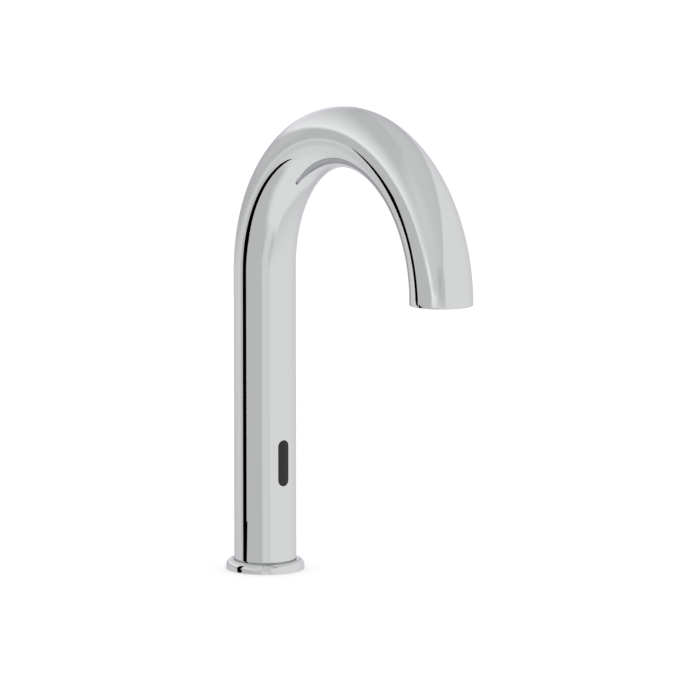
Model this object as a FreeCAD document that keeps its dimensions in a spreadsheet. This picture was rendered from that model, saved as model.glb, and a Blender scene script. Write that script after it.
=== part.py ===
import FreeCAD, Part

# Touchless swan-neck basin tap: a chrome-plated brass column on a round base ring, bent over
# into a spout, with an infrared sensor behind a window in the column, a pilot-operated
# solenoid valve low in the column, an inner water tube and an aerator in the outlet.
# Millimetres. Origin: centre of the base on the deck, +Z up, spout and sensor towards -Y.

import math
import os

import Sketcher
from FreeCAD import Placement, Rotation, Vector

DIMENSIONS = (
    # alias, value, meaning
    ("tube_radius", 20.0, "outside radius of column and swan neck"),
    ("tube_bore", 17.5, "inside radius of column and swan neck"),
    ("column_height", 194.7, "deck to the start of the bend"),
    ("bend_radius", 92.3, "centre line radius of the bend"),
    ("outlet_tail", 1.3, "straight length below the bend at the outlet"),
    ("lip_round", 0.6, "rounding of the outlet lip"),
    ("ring_radius", 25.2, "outside radius of the base ring"),
    ("ring_height", 6.7, "height of the base ring"),
    ("ring_round", 4.2, "rounding of the ring's upper edge"),
    ("ring_edge", 0.5, "bevel of the ring's lower edge"),
    ("ring_seat", 5.7, "level at which the column stands in the ring"),
    ("gasket_inner", 20.4, "inside radius of the deck gasket"),
    ("gasket_outer", 23.2, "outside radius of the deck gasket"),
    ("gasket_thickness", 1.6, "thickness of the deck gasket"),
    ("insert_height", 14.0, "height of the base insert"),
    ("stud_offset", 12.0, "fixing studs, off the column's axis"),
    ("stud_bore", 3.4, "thread bore radius of a fixing stud, M8"),
    ("stud_depth", 11.0, "depth of a fixing stud's thread"),
    ("hose_offset", 9.0, "hose inlet, in front of the column's axis"),
    ("hose_bore", 4.5, "thread bore radius of the hose inlet, M10x1"),
    ("hose_depth", 9.0, "depth of the hose inlet's thread"),
    ("strainer_radius", 3.8, "radius of the inlet strainer's rim"),
    ("strainer_cup", 2.6, "radius of the inlet strainer's cup"),
    ("lead_side", 11.1, "power lead, left of the column's axis"),
    ("lead_back", 7.8, "power lead, behind the column's axis"),
    ("lead_bore", 2.2, "radius of the power lead's passage"),
    ("lead_radius", 1.1, "radius of an inner lead"),
    ("block_radius", 17.2, "radius of the valve block"),
    ("block_top", 28.0, "level of the valve block's upper face"),
    ("valve_offset", 4.5, "valve's axis, in front of the column's axis"),
    ("seat_level", 27.4, "level of the valve seat"),
    ("seat_bore", 2.4, "radius of the valve seat's opening"),
    ("chamber_radius", 7.0, "radius of the valve chamber"),
    ("chamber_depth", 3.5, "depth of the valve chamber below the block's face"),
    ("bead_radius", 8.4, "radius of the diaphragm's clamped bead"),
    ("bead_height", 1.0, "height of the diaphragm's clamped bead"),
    ("seat_radius", 3.6, "outside radius of the valve seat"),
    ("inlet_reach", 5.3, "inlet passage, in front of the valve's axis"),
    ("inlet_way", 1.6, "radius of the inlet passage"),
    ("cross_level", 19.0, "level of the cross passage"),
    ("screw_circle", 10.3, "valve screws, off the valve's axis"),
    ("screw_radius", 1.5, "valve screw radius, M3"),
    ("screw_foot", 8.0, "level of the valve screws' lower ends"),
    ("head_radius", 2.6, "radius of a valve screw's head"),
    ("head_height", 2.4, "height of a valve screw's head"),
    ("bonnet_radius", 12.8, "radius of the valve bonnet"),
    ("bonnet_plate", 5.0, "thickness of the bonnet's plate"),
    ("bonnet_neck", 6.5, "radius of the bonnet's neck"),
    ("bonnet_top", 36.0, "level of the bonnet's neck"),
    ("guide_bore", 4.3, "inside radius of the guide tube"),
    ("guide_radius", 4.7, "outside radius of the guide tube"),
    ("plunger_radius", 4.22, "radius of the plunger"),
    ("plunger_top", 42.8, "level of the closed plunger's upper end"),
    ("spring_room", 2.6, "radius of the plunger's bore for its spring"),
    ("spring_depth", 7.0, "depth of the plunger's bore for its spring"),
    ("spring_radius", 1.9, "middle radius of the plunger's spring"),
    ("spring_wire", 0.25, "radius of the spring's wire"),
    ("spring_pitch", 2.4, "pitch of the plunger's spring"),
    ("core_level", 45.4, "level of the fixed core's lower face"),
    ("coil_bottom", 36.8, "level of the coil frame's lower face"),
    ("coil_top", 51.6, "level of the coil frame's upper face"),
    ("coil_radius", 9.3, "radius of the bobbin's flanges"),
    ("bobbin_flange", 1.0, "thickness of the bobbin's flanges"),
    ("winding_inner", 5.6, "inside radius of the winding"),
    ("winding_outer", 8.8, "outside radius of the winding"),
    ("frame_half", 10.6, "half length of the coil frame"),
    ("frame_width", 14.0, "width of the coil frame's strip"),
    ("frame_strip", 1.2, "thickness of the coil frame's strip"),
    ("nut_corner", 6.6, "corner radius of the coil nut"),
    ("core_stud", 2.0, "radius of the fixed core's stud, M4"),
    ("water_radius", 4.5, "outside radius of the water tube"),
    ("water_bore", 3.0, "inside radius of the water tube"),
    ("water_offset", 11.0, "water tube's lower end, behind the column's axis"),
    ("water_start", 24.0, "level of the water tube's lower end"),
    ("water_end", 209.0, "level of the water tube's outlet end"),
    ("water_bend", 70.0, "bend radius of the water tube in the neck"),
    ("nut_spigot", 5.7, "radius of the lower tube nut's spigot"),
    ("window_level", 70.9, "level of the sensor window's centre"),
    ("window_width", 8.1, "width of the window's opening"),
    ("window_height", 29.8, "height of the window's opening"),
    ("window_play", 0.05, "play round the window in its opening"),
    ("window_face", 19.75, "radius of the window's outer face"),
    ("window_rim", 1.9, "width of the window's flange round the opening"),
    ("gasket_frame", 0.8, "thickness of the gasket behind the window"),
    ("module_front", 14.1, "front face of the sensor housing, off the axis"),
    ("module_back", 6.6, "back face of the sensor housing, off the axis"),
    ("module_half", 8.5, "half width of the sensor housing"),
    ("module_rise", 16.8, "half height of the sensor housing"),
    ("module_wall", 1.5, "wall of the sensor housing"),
    ("eye_rise", 7.0, "emitter and receiver, off the window's centre"),
    ("board_thickness", 1.4, "thickness of the sensor board"),
    ("mouth_recess", 2.0, "lip to the underside of the aerator carrier"),
    ("carrier_radius", 15.0, "radius of the aerator carrier's body"),
    ("aerator_radius", 11.6, "outside radius of the aerator, M24x1"),
    ("aerator_bore", 10.3, "inside radius of the aerator housing"),
    ("grid_height", 2.6, "height of the outlet grid"),
    ("cell_pitch", 2.75, "pitch of the outlet grid's cells"),
    ("cell_corner", 1.34, "corner radius of one hexagonal cell"),
    ("jet_radius", 0.6, "radius of a jet in the diffuser"),
    ("flow_radius", 0.7, "radius of a hole in the flow regulator"),
)

doc = FreeCAD.newDocument("sensor_tap")
sheet = doc.addObject("Spreadsheet::Sheet", "Dims")
for row, (alias, value, meaning) in enumerate(DIMENSIONS, start=1):
    sheet.set(f"A{row}", meaning)
    sheet.set(f"B{row}", str(value))
    sheet.setAlias(f"B{row}", alias)
doc.recompute()


class Size:
    """A length: its number in millimetres and the sheet expression that gives it."""

    def __init__(self, value, text):
        self.value = value
        self.text = text

    def __add__(self, other):
        other = as_size(other)
        return Size(self.value + other.value, f"({self.text} + {other.text})")

    def __sub__(self, other):
        other = as_size(other)
        return Size(self.value - other.value, f"({self.text} - {other.text})")

    def __mul__(self, factor):
        return Size(self.value * factor, f"({self.text} * {factor})")

    def __neg__(self):
        return Size(-self.value, f"(0 - {self.text})")


def as_size(value):
    return value if isinstance(value, Size) else Size(float(value), repr(float(value)))


class Dimensions:
    """Gives each cell of the sheet as a Size, by its alias."""

    def __getattr__(self, alias):
        return Size(float(getattr(sheet, alias)), f"Dims.{alias}")


dim = Dimensions()


# --- ways of making a piece -------------------------------------------------------------

def bind(thing, prop, size):
    thing.setExpression(prop, as_size(size).text)


def place(thing, x, y, z):
    for letter, size in zip("xyz", (x, y, z)):
        bind(thing, f"Placement.Base.{letter}", size)


def new_body(name, x=0, y=0, z=0):
    body = doc.addObject("PartDesign::Body", name)
    body.Label = name
    place(body, x, y, z)
    return body


def origin_feature(body, role):
    return next(item for item in body.Origin.OriginFeatures if item.Role == role)


def new_sketch(body, name, plane, offset=0):
    """A sketch on one of the body's own planes, moved along the plane's normal."""
    sketch = body.newObject("Sketcher::SketchObject", name)
    sketch.AttachmentSupport = [(origin_feature(body, plane), "")]
    sketch.MapMode = "FlatFace"
    bind(sketch, "AttachmentOffset.Base.z", offset)
    return sketch


def pin(sketch, geometry, point, x, y):
    """Ties a point of the sketch to its two coordinates."""
    for kind, size in (("DistanceX", as_size(x)), ("DistanceY", as_size(y))):
        number = sketch.addConstraint(
            Sketcher.Constraint(kind, -1, 1, geometry, point, size.value))
        bind(sketch, f"Constraints[{number}]", size)


def draw_outline(sketch, points):
    """A closed outline of straight lines."""
    first = sketch.GeometryCount
    corners = [Vector(as_size(x).value, as_size(y).value, 0) for x, y in points]
    count = len(corners)
    for index in range(count):
        sketch.addGeometry(Part.LineSegment(corners[index], corners[(index + 1) % count]), False)
    for index, (x, y) in enumerate(points):
        following = first + (index + 1) % count
        sketch.addConstraint(Sketcher.Constraint("Coincident", first + index, 2, following, 1))
        pin(sketch, first + index, 1, x, y)


def draw_hexagon(sketch, x, y, corner, first_turn=30):
    """A regular hexagon by its corner radius; first_turn in degrees."""
    turns = [math.radians(60 * number + first_turn) for number in range(6)]
    draw_outline(sketch, [(corner * math.cos(turn) + x, corner * math.sin(turn) + y)
                          for turn in turns])


def draw_circle(sketch, x, y, radius):
    radius = as_size(radius)
    centre = Vector(as_size(x).value, as_size(y).value, 0)
    index = sketch.addGeometry(Part.Circle(centre, Vector(0, 0, 1), radius.value), False)
    pin(sketch, index, 3, x, y)
    number = sketch.addConstraint(Sketcher.Constraint("Radius", index, radius.value))
    bind(sketch, f"Constraints[{number}]", radius)


def draw_upright_slot(sketch, level, width, height):
    """A slot with round ends, centred on the sketch's vertical axis."""
    radius = width * 0.5
    top = level + height * 0.5 - radius
    bottom = level - height * 0.5 + radius
    r, high, low = radius.value, top.value, bottom.value
    right = sketch.addGeometry(Part.LineSegment(Vector(r, low, 0), Vector(r, high, 0)), False)
    upper = sketch.addGeometry(Part.ArcOfCircle(
        Part.Circle(Vector(0, high, 0), Vector(0, 0, 1), r), 0, math.pi), False)
    left = sketch.addGeometry(Part.LineSegment(Vector(-r, high, 0), Vector(-r, low, 0)), False)
    lower = sketch.addGeometry(Part.ArcOfCircle(
        Part.Circle(Vector(0, low, 0), Vector(0, 0, 1), r), math.pi, 2 * math.pi), False)
    for one, other in ((right, upper), (upper, left), (left, lower), (lower, right)):
        sketch.addConstraint(Sketcher.Constraint("Tangent", one, 2, other, 1))
    pin(sketch, upper, 3, 0, top)
    pin(sketch, lower, 3, 0, bottom)
    number = sketch.addConstraint(Sketcher.Constraint("Radius", upper, r))
    bind(sketch, f"Constraints[{number}]", radius)


def revolve(body, name, points, kind="Revolution"):
    """Turns an outline of (radius, level) points about the body's own Z axis."""
    sketch = new_sketch(body, f"{name}_profile", "XZ_Plane")
    draw_outline(sketch, points)
    turn = body.newObject(f"PartDesign::{kind}", name)
    turn.Profile = sketch
    turn.ReferenceAxis = (sketch, ["V_Axis"])
    turn.Angle = 360
    return turn


def turned_piece(name, points, x=0, y=0, z=0):
    body = new_body(name, x, y, z)
    revolve(body, f"{name}_turned", points)
    return body


def tube_outline(inner, outer, low, high):
    return [(inner, low), (outer, low), (outer, high), (inner, high)]


def extrude(body, name, sketch, length, kind="Pad", reverse=False):
    feature = body.newObject(f"PartDesign::{kind}", name)
    feature.Profile = sketch
    bind(feature, "Length", length)
    feature.Reversed = reverse
    return feature


TURN_TO = {
    "Z": Rotation(),
    "Y": Rotation(Vector(1, 0, 0), -90),
    "-Y": Rotation(Vector(1, 0, 0), 90),
}


def cylinder(body, name, radius, length, x, y, z, towards="Z", kind="Subtractive"):
    """A round hole or boss that starts at a point and runs one way from it."""
    tool = body.newObject(f"PartDesign::{kind}Cylinder", name)
    bind(tool, "Radius", radius)
    bind(tool, "Height", length)
    tool.Placement = Placement(Vector(), TURN_TO[towards])
    place(tool, x, y, z)
    return tool


def polar_pattern(body, name, feature, count):
    doc.recompute()
    pattern = body.newObject("PartDesign::PolarPattern", name)
    pattern.Originals = [feature]
    pattern.Axis = (origin_feature(body, "Z_Axis"), [""])
    pattern.Angle = 360
    pattern.Occurrences = count
    body.Tip = pattern
    return pattern


def round_edges(body, name, radius, wanted):
    """Fillets the circular edges for which wanted(edge) is true."""
    doc.recompute()
    base = body.Tip
    names = [f"Edge{number}" for number, edge in enumerate(base.Shape.Edges, start=1)
             if isinstance(edge.Curve, Part.Circle) and wanted(edge)]
    fillet = body.newObject("PartDesign::Fillet", name)
    fillet.Base = (base, names)
    bind(fillet, "Radius", radius)
    return fillet


def is_ring(edge, radius, level):
    """True for a circle of this radius that lies flat at this level."""
    same_radius = abs(edge.Curve.Radius - radius.value) < 0.01
    flat = abs(edge.BoundBox.ZLength) < 0.01
    return same_radius and flat and abs(edge.BoundBox.ZMin - level.value) < 0.01


def sweep_round(body, name, path, edges, radius, start, kind="Additive"):
    """Sweeps a circle that lies level at the start of the path."""
    section = new_sketch(body, f"{name}_section", "XY_Plane", start[2])
    draw_circle(section, start[0], start[1], radius)
    pipe = body.newObject(f"PartDesign::{kind}Pipe", name)
    pipe.Profile = section
    pipe.Spine = (path, edges)
    return pipe


def lead_shape(points, bend, radius):
    """A round lead along straight runs that are joined by tangent arcs."""
    edges = []
    start = points[0]
    for before, corner, after in zip(points, points[1:], points[2:]):
        back = (before - corner).normalize()
        ahead = (after - corner).normalize()
        half_turn = (math.pi - back.getAngle(ahead)) / 2
        reach = bend * math.tan(half_turn)
        first = corner + back * reach
        last = corner + ahead * reach
        inward = (back + ahead).normalize()
        middle = corner + inward * (bend / math.cos(half_turn) - bend)
        edges.append(Part.LineSegment(start, first).toShape())
        edges.append(Part.Arc(first, middle, last).toShape())
        start = last
    edges.append(Part.LineSegment(start, points[-1]).toShape())
    path = Part.Wire(edges)
    direction = points[1] - points[0]
    section = Part.Wire(Part.Circle(points[0], direction, radius).toShape())
    solid = Part.Wire(path).makePipeShell([section], True, False)
    expected = math.pi * radius ** 2 * path.Length
    if abs(solid.Volume - expected) > 0.02 * expected:
        raise RuntimeError("a lead's volume does not match its length")
    return solid


# --- body and base ----------------------------------------------------------------------

OUTLET_LEVEL = dim.column_height - dim.outlet_tail
OUTLET_REACH = dim.bend_radius * 2


def make_spout_body():
    """Column and swan neck in one: a round tube swept up and over, open at both ends."""
    body = new_body("spout_body")
    path = new_sketch(body, "neck_path", "YZ_Plane")
    start, top, bend = dim.ring_seat, dim.column_height, dim.bend_radius
    far = -OUTLET_REACH.value
    path.addGeometry(
        Part.LineSegment(Vector(0, start.value, 0), Vector(0, top.value, 0)), False)
    path.addGeometry(Part.ArcOfCircle(
        Part.Circle(Vector(-bend.value, top.value, 0), Vector(0, 0, 1), bend.value),
        0, math.pi), False)
    path.addGeometry(
        Part.LineSegment(Vector(far, top.value, 0), Vector(far, OUTLET_LEVEL.value, 0)), False)
    path.addConstraint(Sketcher.Constraint("Coincident", 0, 2, 1, 1))
    path.addConstraint(Sketcher.Constraint("Coincident", 1, 2, 2, 1))
    pin(path, 0, 1, 0, start)
    pin(path, 1, 1, 0, top)
    pin(path, 1, 3, -bend, top)
    pin(path, 2, 2, -OUTLET_REACH, OUTLET_LEVEL)
    run = ["Edge1", "Edge2", "Edge3"]
    sweep_round(body, "neck_outside", path, run, dim.tube_radius, (0, 0, start))
    sweep_round(body, "neck_bore", path, run, dim.tube_bore, (0, 0, start), "Subtractive")
    round_edges(body, "outlet_lip", dim.lip_round,
                lambda edge: is_ring(edge, dim.tube_radius, OUTLET_LEVEL))
    opening = new_sketch(body, "window_outline", "XZ_Plane", dim.tube_radius + 5)
    draw_upright_slot(opening, dim.window_level, dim.window_width, dim.window_height)
    extrude(body, "window_opening", opening, 12, "Pocket")
    return body


def make_base_ring():
    """Plinth ring: round shoulder, a recess for the column above, a gasket groove below."""
    bore = dim.tube_bore + 0.1
    groove = dim.gasket_thickness
    recess = dim.tube_radius + 0.08
    body = new_body("base_ring")
    revolve(body, "ring_turned", [
        (bore, 0), (dim.gasket_inner, 0), (dim.gasket_inner, groove),
        (dim.gasket_outer, groove), (dim.gasket_outer, 0),
        (dim.ring_radius - dim.ring_edge, 0), (dim.ring_radius, dim.ring_edge),
        (dim.ring_radius, dim.ring_height), (recess, dim.ring_height),
        (recess, dim.ring_seat), (bore, dim.ring_seat)])
    round_edges(body, "ring_dome", dim.ring_round,
                lambda edge: is_ring(edge, dim.ring_radius, dim.ring_height))
    return body


def make_deck_gasket():
    return turned_piece("deck_gasket", tube_outline(
        dim.gasket_inner, dim.gasket_outer, 0, dim.gasket_thickness))


def make_base_insert():
    """Brass plug in the column's foot, with the stud threads, hose inlet and lead passage."""
    body = turned_piece("base_insert", [
        (0, 0), (dim.tube_bore - 0.5, 0), (dim.tube_bore, 0.5),
        (dim.tube_bore, dim.insert_height), (0, dim.insert_height)])
    for side, sign in (("right", 1), ("left", -1)):
        cylinder(body, f"stud_thread_{side}", dim.stud_bore, dim.stud_depth,
                 dim.stud_offset * sign, 0, 0)
    back = -dim.hose_offset
    cylinder(body, "hose_thread", dim.hose_bore, dim.hose_depth, 0, back, 0)
    cylinder(body, "strainer_seat", dim.strainer_radius, 1, 0, back, dim.hose_depth)
    cylinder(body, "water_passage", dim.water_bore, dim.insert_height, 0, back, 0)
    cylinder(body, "lead_passage", dim.lead_bore, dim.insert_height,
             -dim.lead_side, dim.lead_back, 0)
    drill_valve_screws(body, dim.screw_radius, dim.screw_foot, dim.insert_height - dim.screw_foot)
    return body


def screw_places():
    """Number and place of each of the four valve screws, from the valve's axis."""
    reach = dim.screw_circle * math.sqrt(0.5)
    corners = ((1, 1), (-1, 1), (-1, -1), (1, -1))
    return [(number, reach * across, reach * along)
            for number, (across, along) in enumerate(corners, start=1)]


def drill_valve_screws(body, radius, low, length):
    """The four screw holes, in a piece whose origin is on the column's axis."""
    for number, x, y in screw_places():
        cylinder(body, f"{body.Name}_screw_hole_{number}", radius, length,
                 x, y - dim.valve_offset, low)


def make_inlet_strainer():
    """Rimmed mesh cup in the top of the hose inlet."""
    cup, rim, wall, height = dim.strainer_cup, dim.strainer_radius, 0.4, 4.4
    return turned_piece("inlet_strainer", [
        (cup - wall, 0), (rim, 0), (rim, 1), (cup, 1), (cup, height), (0, height),
        (0, height - wall), (cup - wall, height - wall)],
        0, -dim.hose_offset, dim.hose_depth)


def make_power_connector():
    """Round plug socket for the supply lead, in the insert's rear passage."""
    socket, floor, mouth, top = 1.6, 3.5, 0.2, 12
    body = turned_piece("power_connector", [
        (0, floor), (socket, floor), (socket, mouth), (dim.lead_bore, mouth),
        (dim.lead_bore, top), (0, top)], -dim.lead_side, dim.lead_back)
    pin_radius, pin_foot = 0.4, 0.8
    cylinder(body, "contact_pin", pin_radius, floor - pin_foot, 0, 0, pin_foot, kind="Additive")
    return body


# --- solenoid valve ---------------------------------------------------------------------

SEAL_INNER = 3.8
SEAL_OUTER = 5.0
SEAL_HEIGHT = 1.0
CLAMP_EDGE = 0.4
STEM_RADIUS = 1.0
DISC_LEVEL = dim.seat_level + 0.5
DISC_TOP = DISC_LEVEL + 1.5
PLUNGER_FOOT = DISC_TOP + 0.8
PILOT_RADIUS = 1.8


def make_valve_block():
    """Moulded block on the insert: inlet, annular chamber, seat, and the way to the tube."""
    body = turned_piece("valve_block", [
        (0, dim.insert_height), (dim.block_radius, dim.insert_height),
        (dim.block_radius, dim.block_top), (0, dim.block_top)])
    front = -dim.valve_offset
    floor = dim.block_top - dim.chamber_depth
    cylinder(body, "bead_recess", dim.bead_radius, 2, 0, front, dim.block_top - dim.bead_height)
    cylinder(body, "valve_chamber", dim.chamber_radius, 4, 0, front, floor)
    cylinder(body, "seat_tube", dim.seat_radius, dim.seat_level - floor + 0.5,
             0, front, floor - 0.5, kind="Additive")
    cylinder(body, "seat_opening", dim.seat_bore, dim.block_top - dim.cross_level,
             0, front, dim.cross_level)
    cylinder(body, "seal_room", SEAL_OUTER, SEAL_HEIGHT, 0, -dim.hose_offset, dim.insert_height)
    cylinder(body, "seal_land", SEAL_INNER, SEAL_HEIGHT, 0, -dim.hose_offset,
             dim.insert_height, kind="Additive")
    cylinder(body, "inlet_passage", dim.inlet_way, floor + 0.5 - dim.insert_height,
             0, front - dim.inlet_reach, dim.insert_height)
    cylinder(body, "cross_passage", dim.seat_bore, 30, 0, front, dim.cross_level, "Y")
    cylinder(body, "riser_passage", dim.water_bore, 12, 0, dim.water_offset, dim.cross_level)
    cylinder(body, "tube_socket", dim.water_radius, 6, 0, dim.water_offset, dim.water_start)
    cylinder(body, "nut_recess", dim.nut_spigot, 4, 0, dim.water_offset, dim.block_top - 2)
    cylinder(body, "lead_way", dim.lead_bore, 20,
             -dim.lead_side, dim.lead_back, dim.insert_height)
    drill_valve_screws(body, dim.screw_radius + 0.1, dim.insert_height, 20)
    return body


def make_inlet_seal():
    return turned_piece("inlet_seal", tube_outline(SEAL_INNER, SEAL_OUTER, 0, SEAL_HEIGHT),
                        0, -dim.hose_offset, dim.insert_height)


def make_passage_plug():
    """Closes the drilled end of the cross passage."""
    body = new_body("passage_plug")
    cylinder(body, "plug_pin", dim.seat_bore, 2.6,
             0, dim.block_radius - 3, dim.cross_level, "Y", "Additive")
    return body


def make_diaphragm():
    """Rubber membrane: its bead is clamped, its centre lifts off the seat."""
    bottom = dim.block_top - dim.bead_height
    inside = dim.chamber_radius - CLAMP_EDGE
    return turned_piece("diaphragm", [
        (STEM_RADIUS, dim.seat_level), (dim.chamber_radius, dim.seat_level),
        (dim.chamber_radius, bottom), (dim.bead_radius, bottom),
        (dim.bead_radius, dim.block_top), (inside, dim.block_top),
        (inside, DISC_LEVEL), (STEM_RADIUS, DISC_LEVEL)], 0, -dim.valve_offset)


def make_diaphragm_disc():
    """Stiff disc on the membrane, with the pilot hole through its stem."""
    pilot_hole, edge, nozzle = 0.4, 4.2, 1.1
    foot, shoulder = DISC_LEVEL - 1.2, DISC_TOP - 0.4
    return turned_piece("diaphragm_disc", [
        (pilot_hole, foot), (STEM_RADIUS, foot), (STEM_RADIUS, DISC_LEVEL),
        (edge, DISC_LEVEL), (edge, shoulder), (nozzle + 0.3, shoulder),
        (nozzle, DISC_TOP), (pilot_hole, DISC_TOP)], 0, -dim.valve_offset)


GLAND_INNER = 5.1
GLAND_OUTER = 6.0
GLAND_FLOOR = dim.bonnet_top - 0.8


def make_valve_bonnet():
    """Cover that clamps the diaphragm and carries the guide tube."""
    edge, bevel = dim.bonnet_radius, 0.4
    top, roof = dim.block_top + dim.bonnet_plate, dim.block_top + 3.2
    inside = dim.chamber_radius - CLAMP_EDGE
    body = turned_piece("valve_bonnet", [
        (inside, dim.block_top), (edge, dim.block_top), (edge, top - bevel),
        (edge - bevel, top), (dim.bonnet_neck, top), (dim.bonnet_neck, dim.bonnet_top),
        (GLAND_OUTER, dim.bonnet_top), (GLAND_OUTER, GLAND_FLOOR), (GLAND_INNER, GLAND_FLOOR),
        (GLAND_INNER, dim.bonnet_top), (dim.guide_bore, dim.bonnet_top),
        (dim.guide_bore, roof), (inside, roof)], 0, -dim.valve_offset)
    low, through = dim.block_top - 1, 8
    for number, x, y in screw_places():
        cylinder(body, f"bonnet_hole_{number}", dim.screw_radius + 0.1, through, x, y, low)
    cylinder(body, "nut_notch", dim.nut_spigot + 0.5, through,
             0, dim.water_offset + dim.valve_offset, low)
    return body


def make_valve_screws():
    """Four long screws through bonnet and block into the insert."""
    body = new_body("valve_screws", 0, -dim.valve_offset, 0)
    seat = dim.block_top + dim.bonnet_plate
    socket_radius, socket_depth = 1.2, 1.4
    for number, x, y in screw_places():
        cylinder(body, f"shank_{number}", dim.screw_radius, seat - dim.screw_foot,
                 x, y, dim.screw_foot, kind="Additive")
        cylinder(body, f"head_{number}", dim.head_radius, dim.head_height,
                 x, y, seat, kind="Additive")
        cylinder(body, f"socket_{number}", socket_radius, socket_depth,
                 x, y, seat + dim.head_height - socket_depth)
    return body


def make_guide_seal():
    return turned_piece("guide_seal", tube_outline(
        GLAND_INNER, GLAND_OUTER, GLAND_FLOOR, dim.bonnet_top), 0, -dim.valve_offset)


def make_guide_tube():
    """Thin steel tube that the plunger runs in, flanged where it stands on the bonnet."""
    return turned_piece("guide_tube", [
        (dim.guide_bore, dim.bonnet_top), (dim.bonnet_neck, dim.bonnet_top),
        (dim.bonnet_neck, dim.coil_bottom),
        (dim.guide_radius, dim.coil_bottom), (dim.guide_radius, dim.coil_top),
        (dim.guide_bore, dim.coil_top)], 0, -dim.valve_offset)


def make_plunger():
    """Magnetic steel plunger, bored below for its seal and above for its spring."""
    seal_top, bevel = PLUNGER_FOOT + 2, 0.5
    spring_floor = dim.plunger_top - dim.spring_depth
    body = turned_piece("plunger", [
        (0, seal_top), (PILOT_RADIUS, seal_top), (PILOT_RADIUS, PLUNGER_FOOT),
        (dim.plunger_radius - bevel, PLUNGER_FOOT), (dim.plunger_radius, PLUNGER_FOOT + bevel),
        (dim.plunger_radius, dim.plunger_top), (dim.spring_room, dim.plunger_top),
        (dim.spring_room, spring_floor), (0, spring_floor)], 0, -dim.valve_offset)
    groove = cylinder(body, "water_groove", 0.6, 20, dim.plunger_radius, 0, PLUNGER_FOOT - 1)
    polar_pattern(body, "water_grooves", groove, 3)
    return body


def make_pilot_seal():
    return turned_piece("pilot_seal", [
        (0, DISC_TOP), (PILOT_RADIUS - 0.6, DISC_TOP), (PILOT_RADIUS, DISC_TOP + 0.5),
        (PILOT_RADIUS, PLUNGER_FOOT + 2), (0, PLUNGER_FOOT + 2)], 0, -dim.valve_offset)


def make_plunger_spring():
    """Closing spring between the plunger's bore and the fixed core, its wire with six flats."""
    body = new_body("plunger_spring", 0, -dim.valve_offset, 0)
    wire = dim.spring_wire
    start = dim.plunger_top - dim.spring_depth + wire
    section = new_sketch(body, "spring_wire", "XZ_Plane")
    draw_hexagon(section, dim.spring_radius, start, wire)
    coil = body.newObject("PartDesign::AdditiveHelix", "spring_coil")
    coil.Profile = section
    coil.ReferenceAxis = (section, ["V_Axis"])
    coil.Mode = "pitch-height-angle"
    bind(coil, "Pitch", dim.spring_pitch)
    bind(coil, "Height", dim.core_level - start - wire)
    return body


def make_fixed_core():
    """Fixed pole piece that closes the guide tube, with the stud for the coil's nut."""
    bevel, stud_top = 0.6, dim.coil_top + 2.2
    return turned_piece("fixed_core", [
        (0, dim.core_level), (dim.guide_bore - bevel, dim.core_level),
        (dim.guide_bore, dim.core_level + bevel), (dim.guide_bore, dim.coil_top),
        (dim.core_stud, dim.coil_top), (dim.core_stud, stud_top), (0, stud_top)],
        0, -dim.valve_offset)


BOBBIN_LOW = dim.coil_bottom + dim.frame_strip
BOBBIN_HIGH = dim.coil_top - dim.frame_strip


def make_coil_bobbin():
    """Spool for the winding, with the terminal block at its upper flange."""
    low, high = BOBBIN_LOW + dim.bobbin_flange, BOBBIN_HIGH - dim.bobbin_flange
    body = turned_piece("coil_bobbin", [
        (dim.guide_radius, BOBBIN_LOW), (dim.coil_radius, BOBBIN_LOW),
        (dim.coil_radius, low), (dim.winding_inner, low), (dim.winding_inner, high),
        (dim.coil_radius, high), (dim.coil_radius, BOBBIN_HIGH),
        (dim.guide_radius, BOBBIN_HIGH)], 0, -dim.valve_offset)
    terminal_height = as_size(4)
    left, right, back, front = -7, -3, 6.9, 9.5
    block = new_sketch(body, "terminal_outline", "XY_Plane", BOBBIN_HIGH - terminal_height)
    draw_outline(block, [(left, back), (right, back), (right, front), (left, front)])
    extrude(body, "terminal_block", block, terminal_height)
    clear = new_sketch(body, "winding_outline", "XY_Plane", BOBBIN_HIGH - terminal_height)
    draw_circle(clear, 0, 0, dim.winding_outer)
    draw_circle(clear, 0, 0, dim.winding_inner)
    extrude(body, "winding_room", clear, terminal_height - dim.bobbin_flange, "Pocket", True)
    return body


def make_coil_winding():
    return turned_piece("coil_winding", tube_outline(
        dim.winding_inner, dim.winding_outer, BOBBIN_LOW + dim.bobbin_flange,
        BOBBIN_HIGH - dim.bobbin_flange), 0, -dim.valve_offset)


def make_coil_frame():
    """Steel strip bent round the coil, with a hole for the guide tube in both plates."""
    body = new_body("coil_frame", 0, -dim.valve_offset, 0)
    half, strip = dim.frame_half, dim.frame_strip
    strap = new_sketch(body, "strap_outline", "XZ_Plane", dim.frame_width * -0.5)
    draw_outline(strap, [(-half, dim.coil_bottom), (half, dim.coil_bottom),
                         (half, dim.coil_top), (-half, dim.coil_top)])
    draw_outline(strap, [(-half + strip, BOBBIN_LOW), (half - strip, BOBBIN_LOW),
                         (half - strip, BOBBIN_HIGH), (-half + strip, BOBBIN_HIGH)])
    extrude(body, "strap", strap, dim.frame_width)
    cylinder(body, "guide_holes", dim.guide_radius, 20, 0, 0, dim.coil_bottom - 1)
    return body


def make_coil_nut():
    """Hexagon nut that holds the coil on the core's stud."""
    body = new_body("coil_nut", 0, -dim.valve_offset, dim.coil_top)
    face = new_sketch(body, "nut_outline", "XY_Plane")
    draw_hexagon(face, 0, 0, dim.nut_corner, 0)
    draw_circle(face, 0, 0, dim.core_stud)
    extrude(body, "nut", face, 1.8)
    return body


# --- water tube -------------------------------------------------------------------------

JOG_RADIUS = 40.0
JOG_LEVEL = 105.0
SPRING_LINE = 219.0


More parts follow.
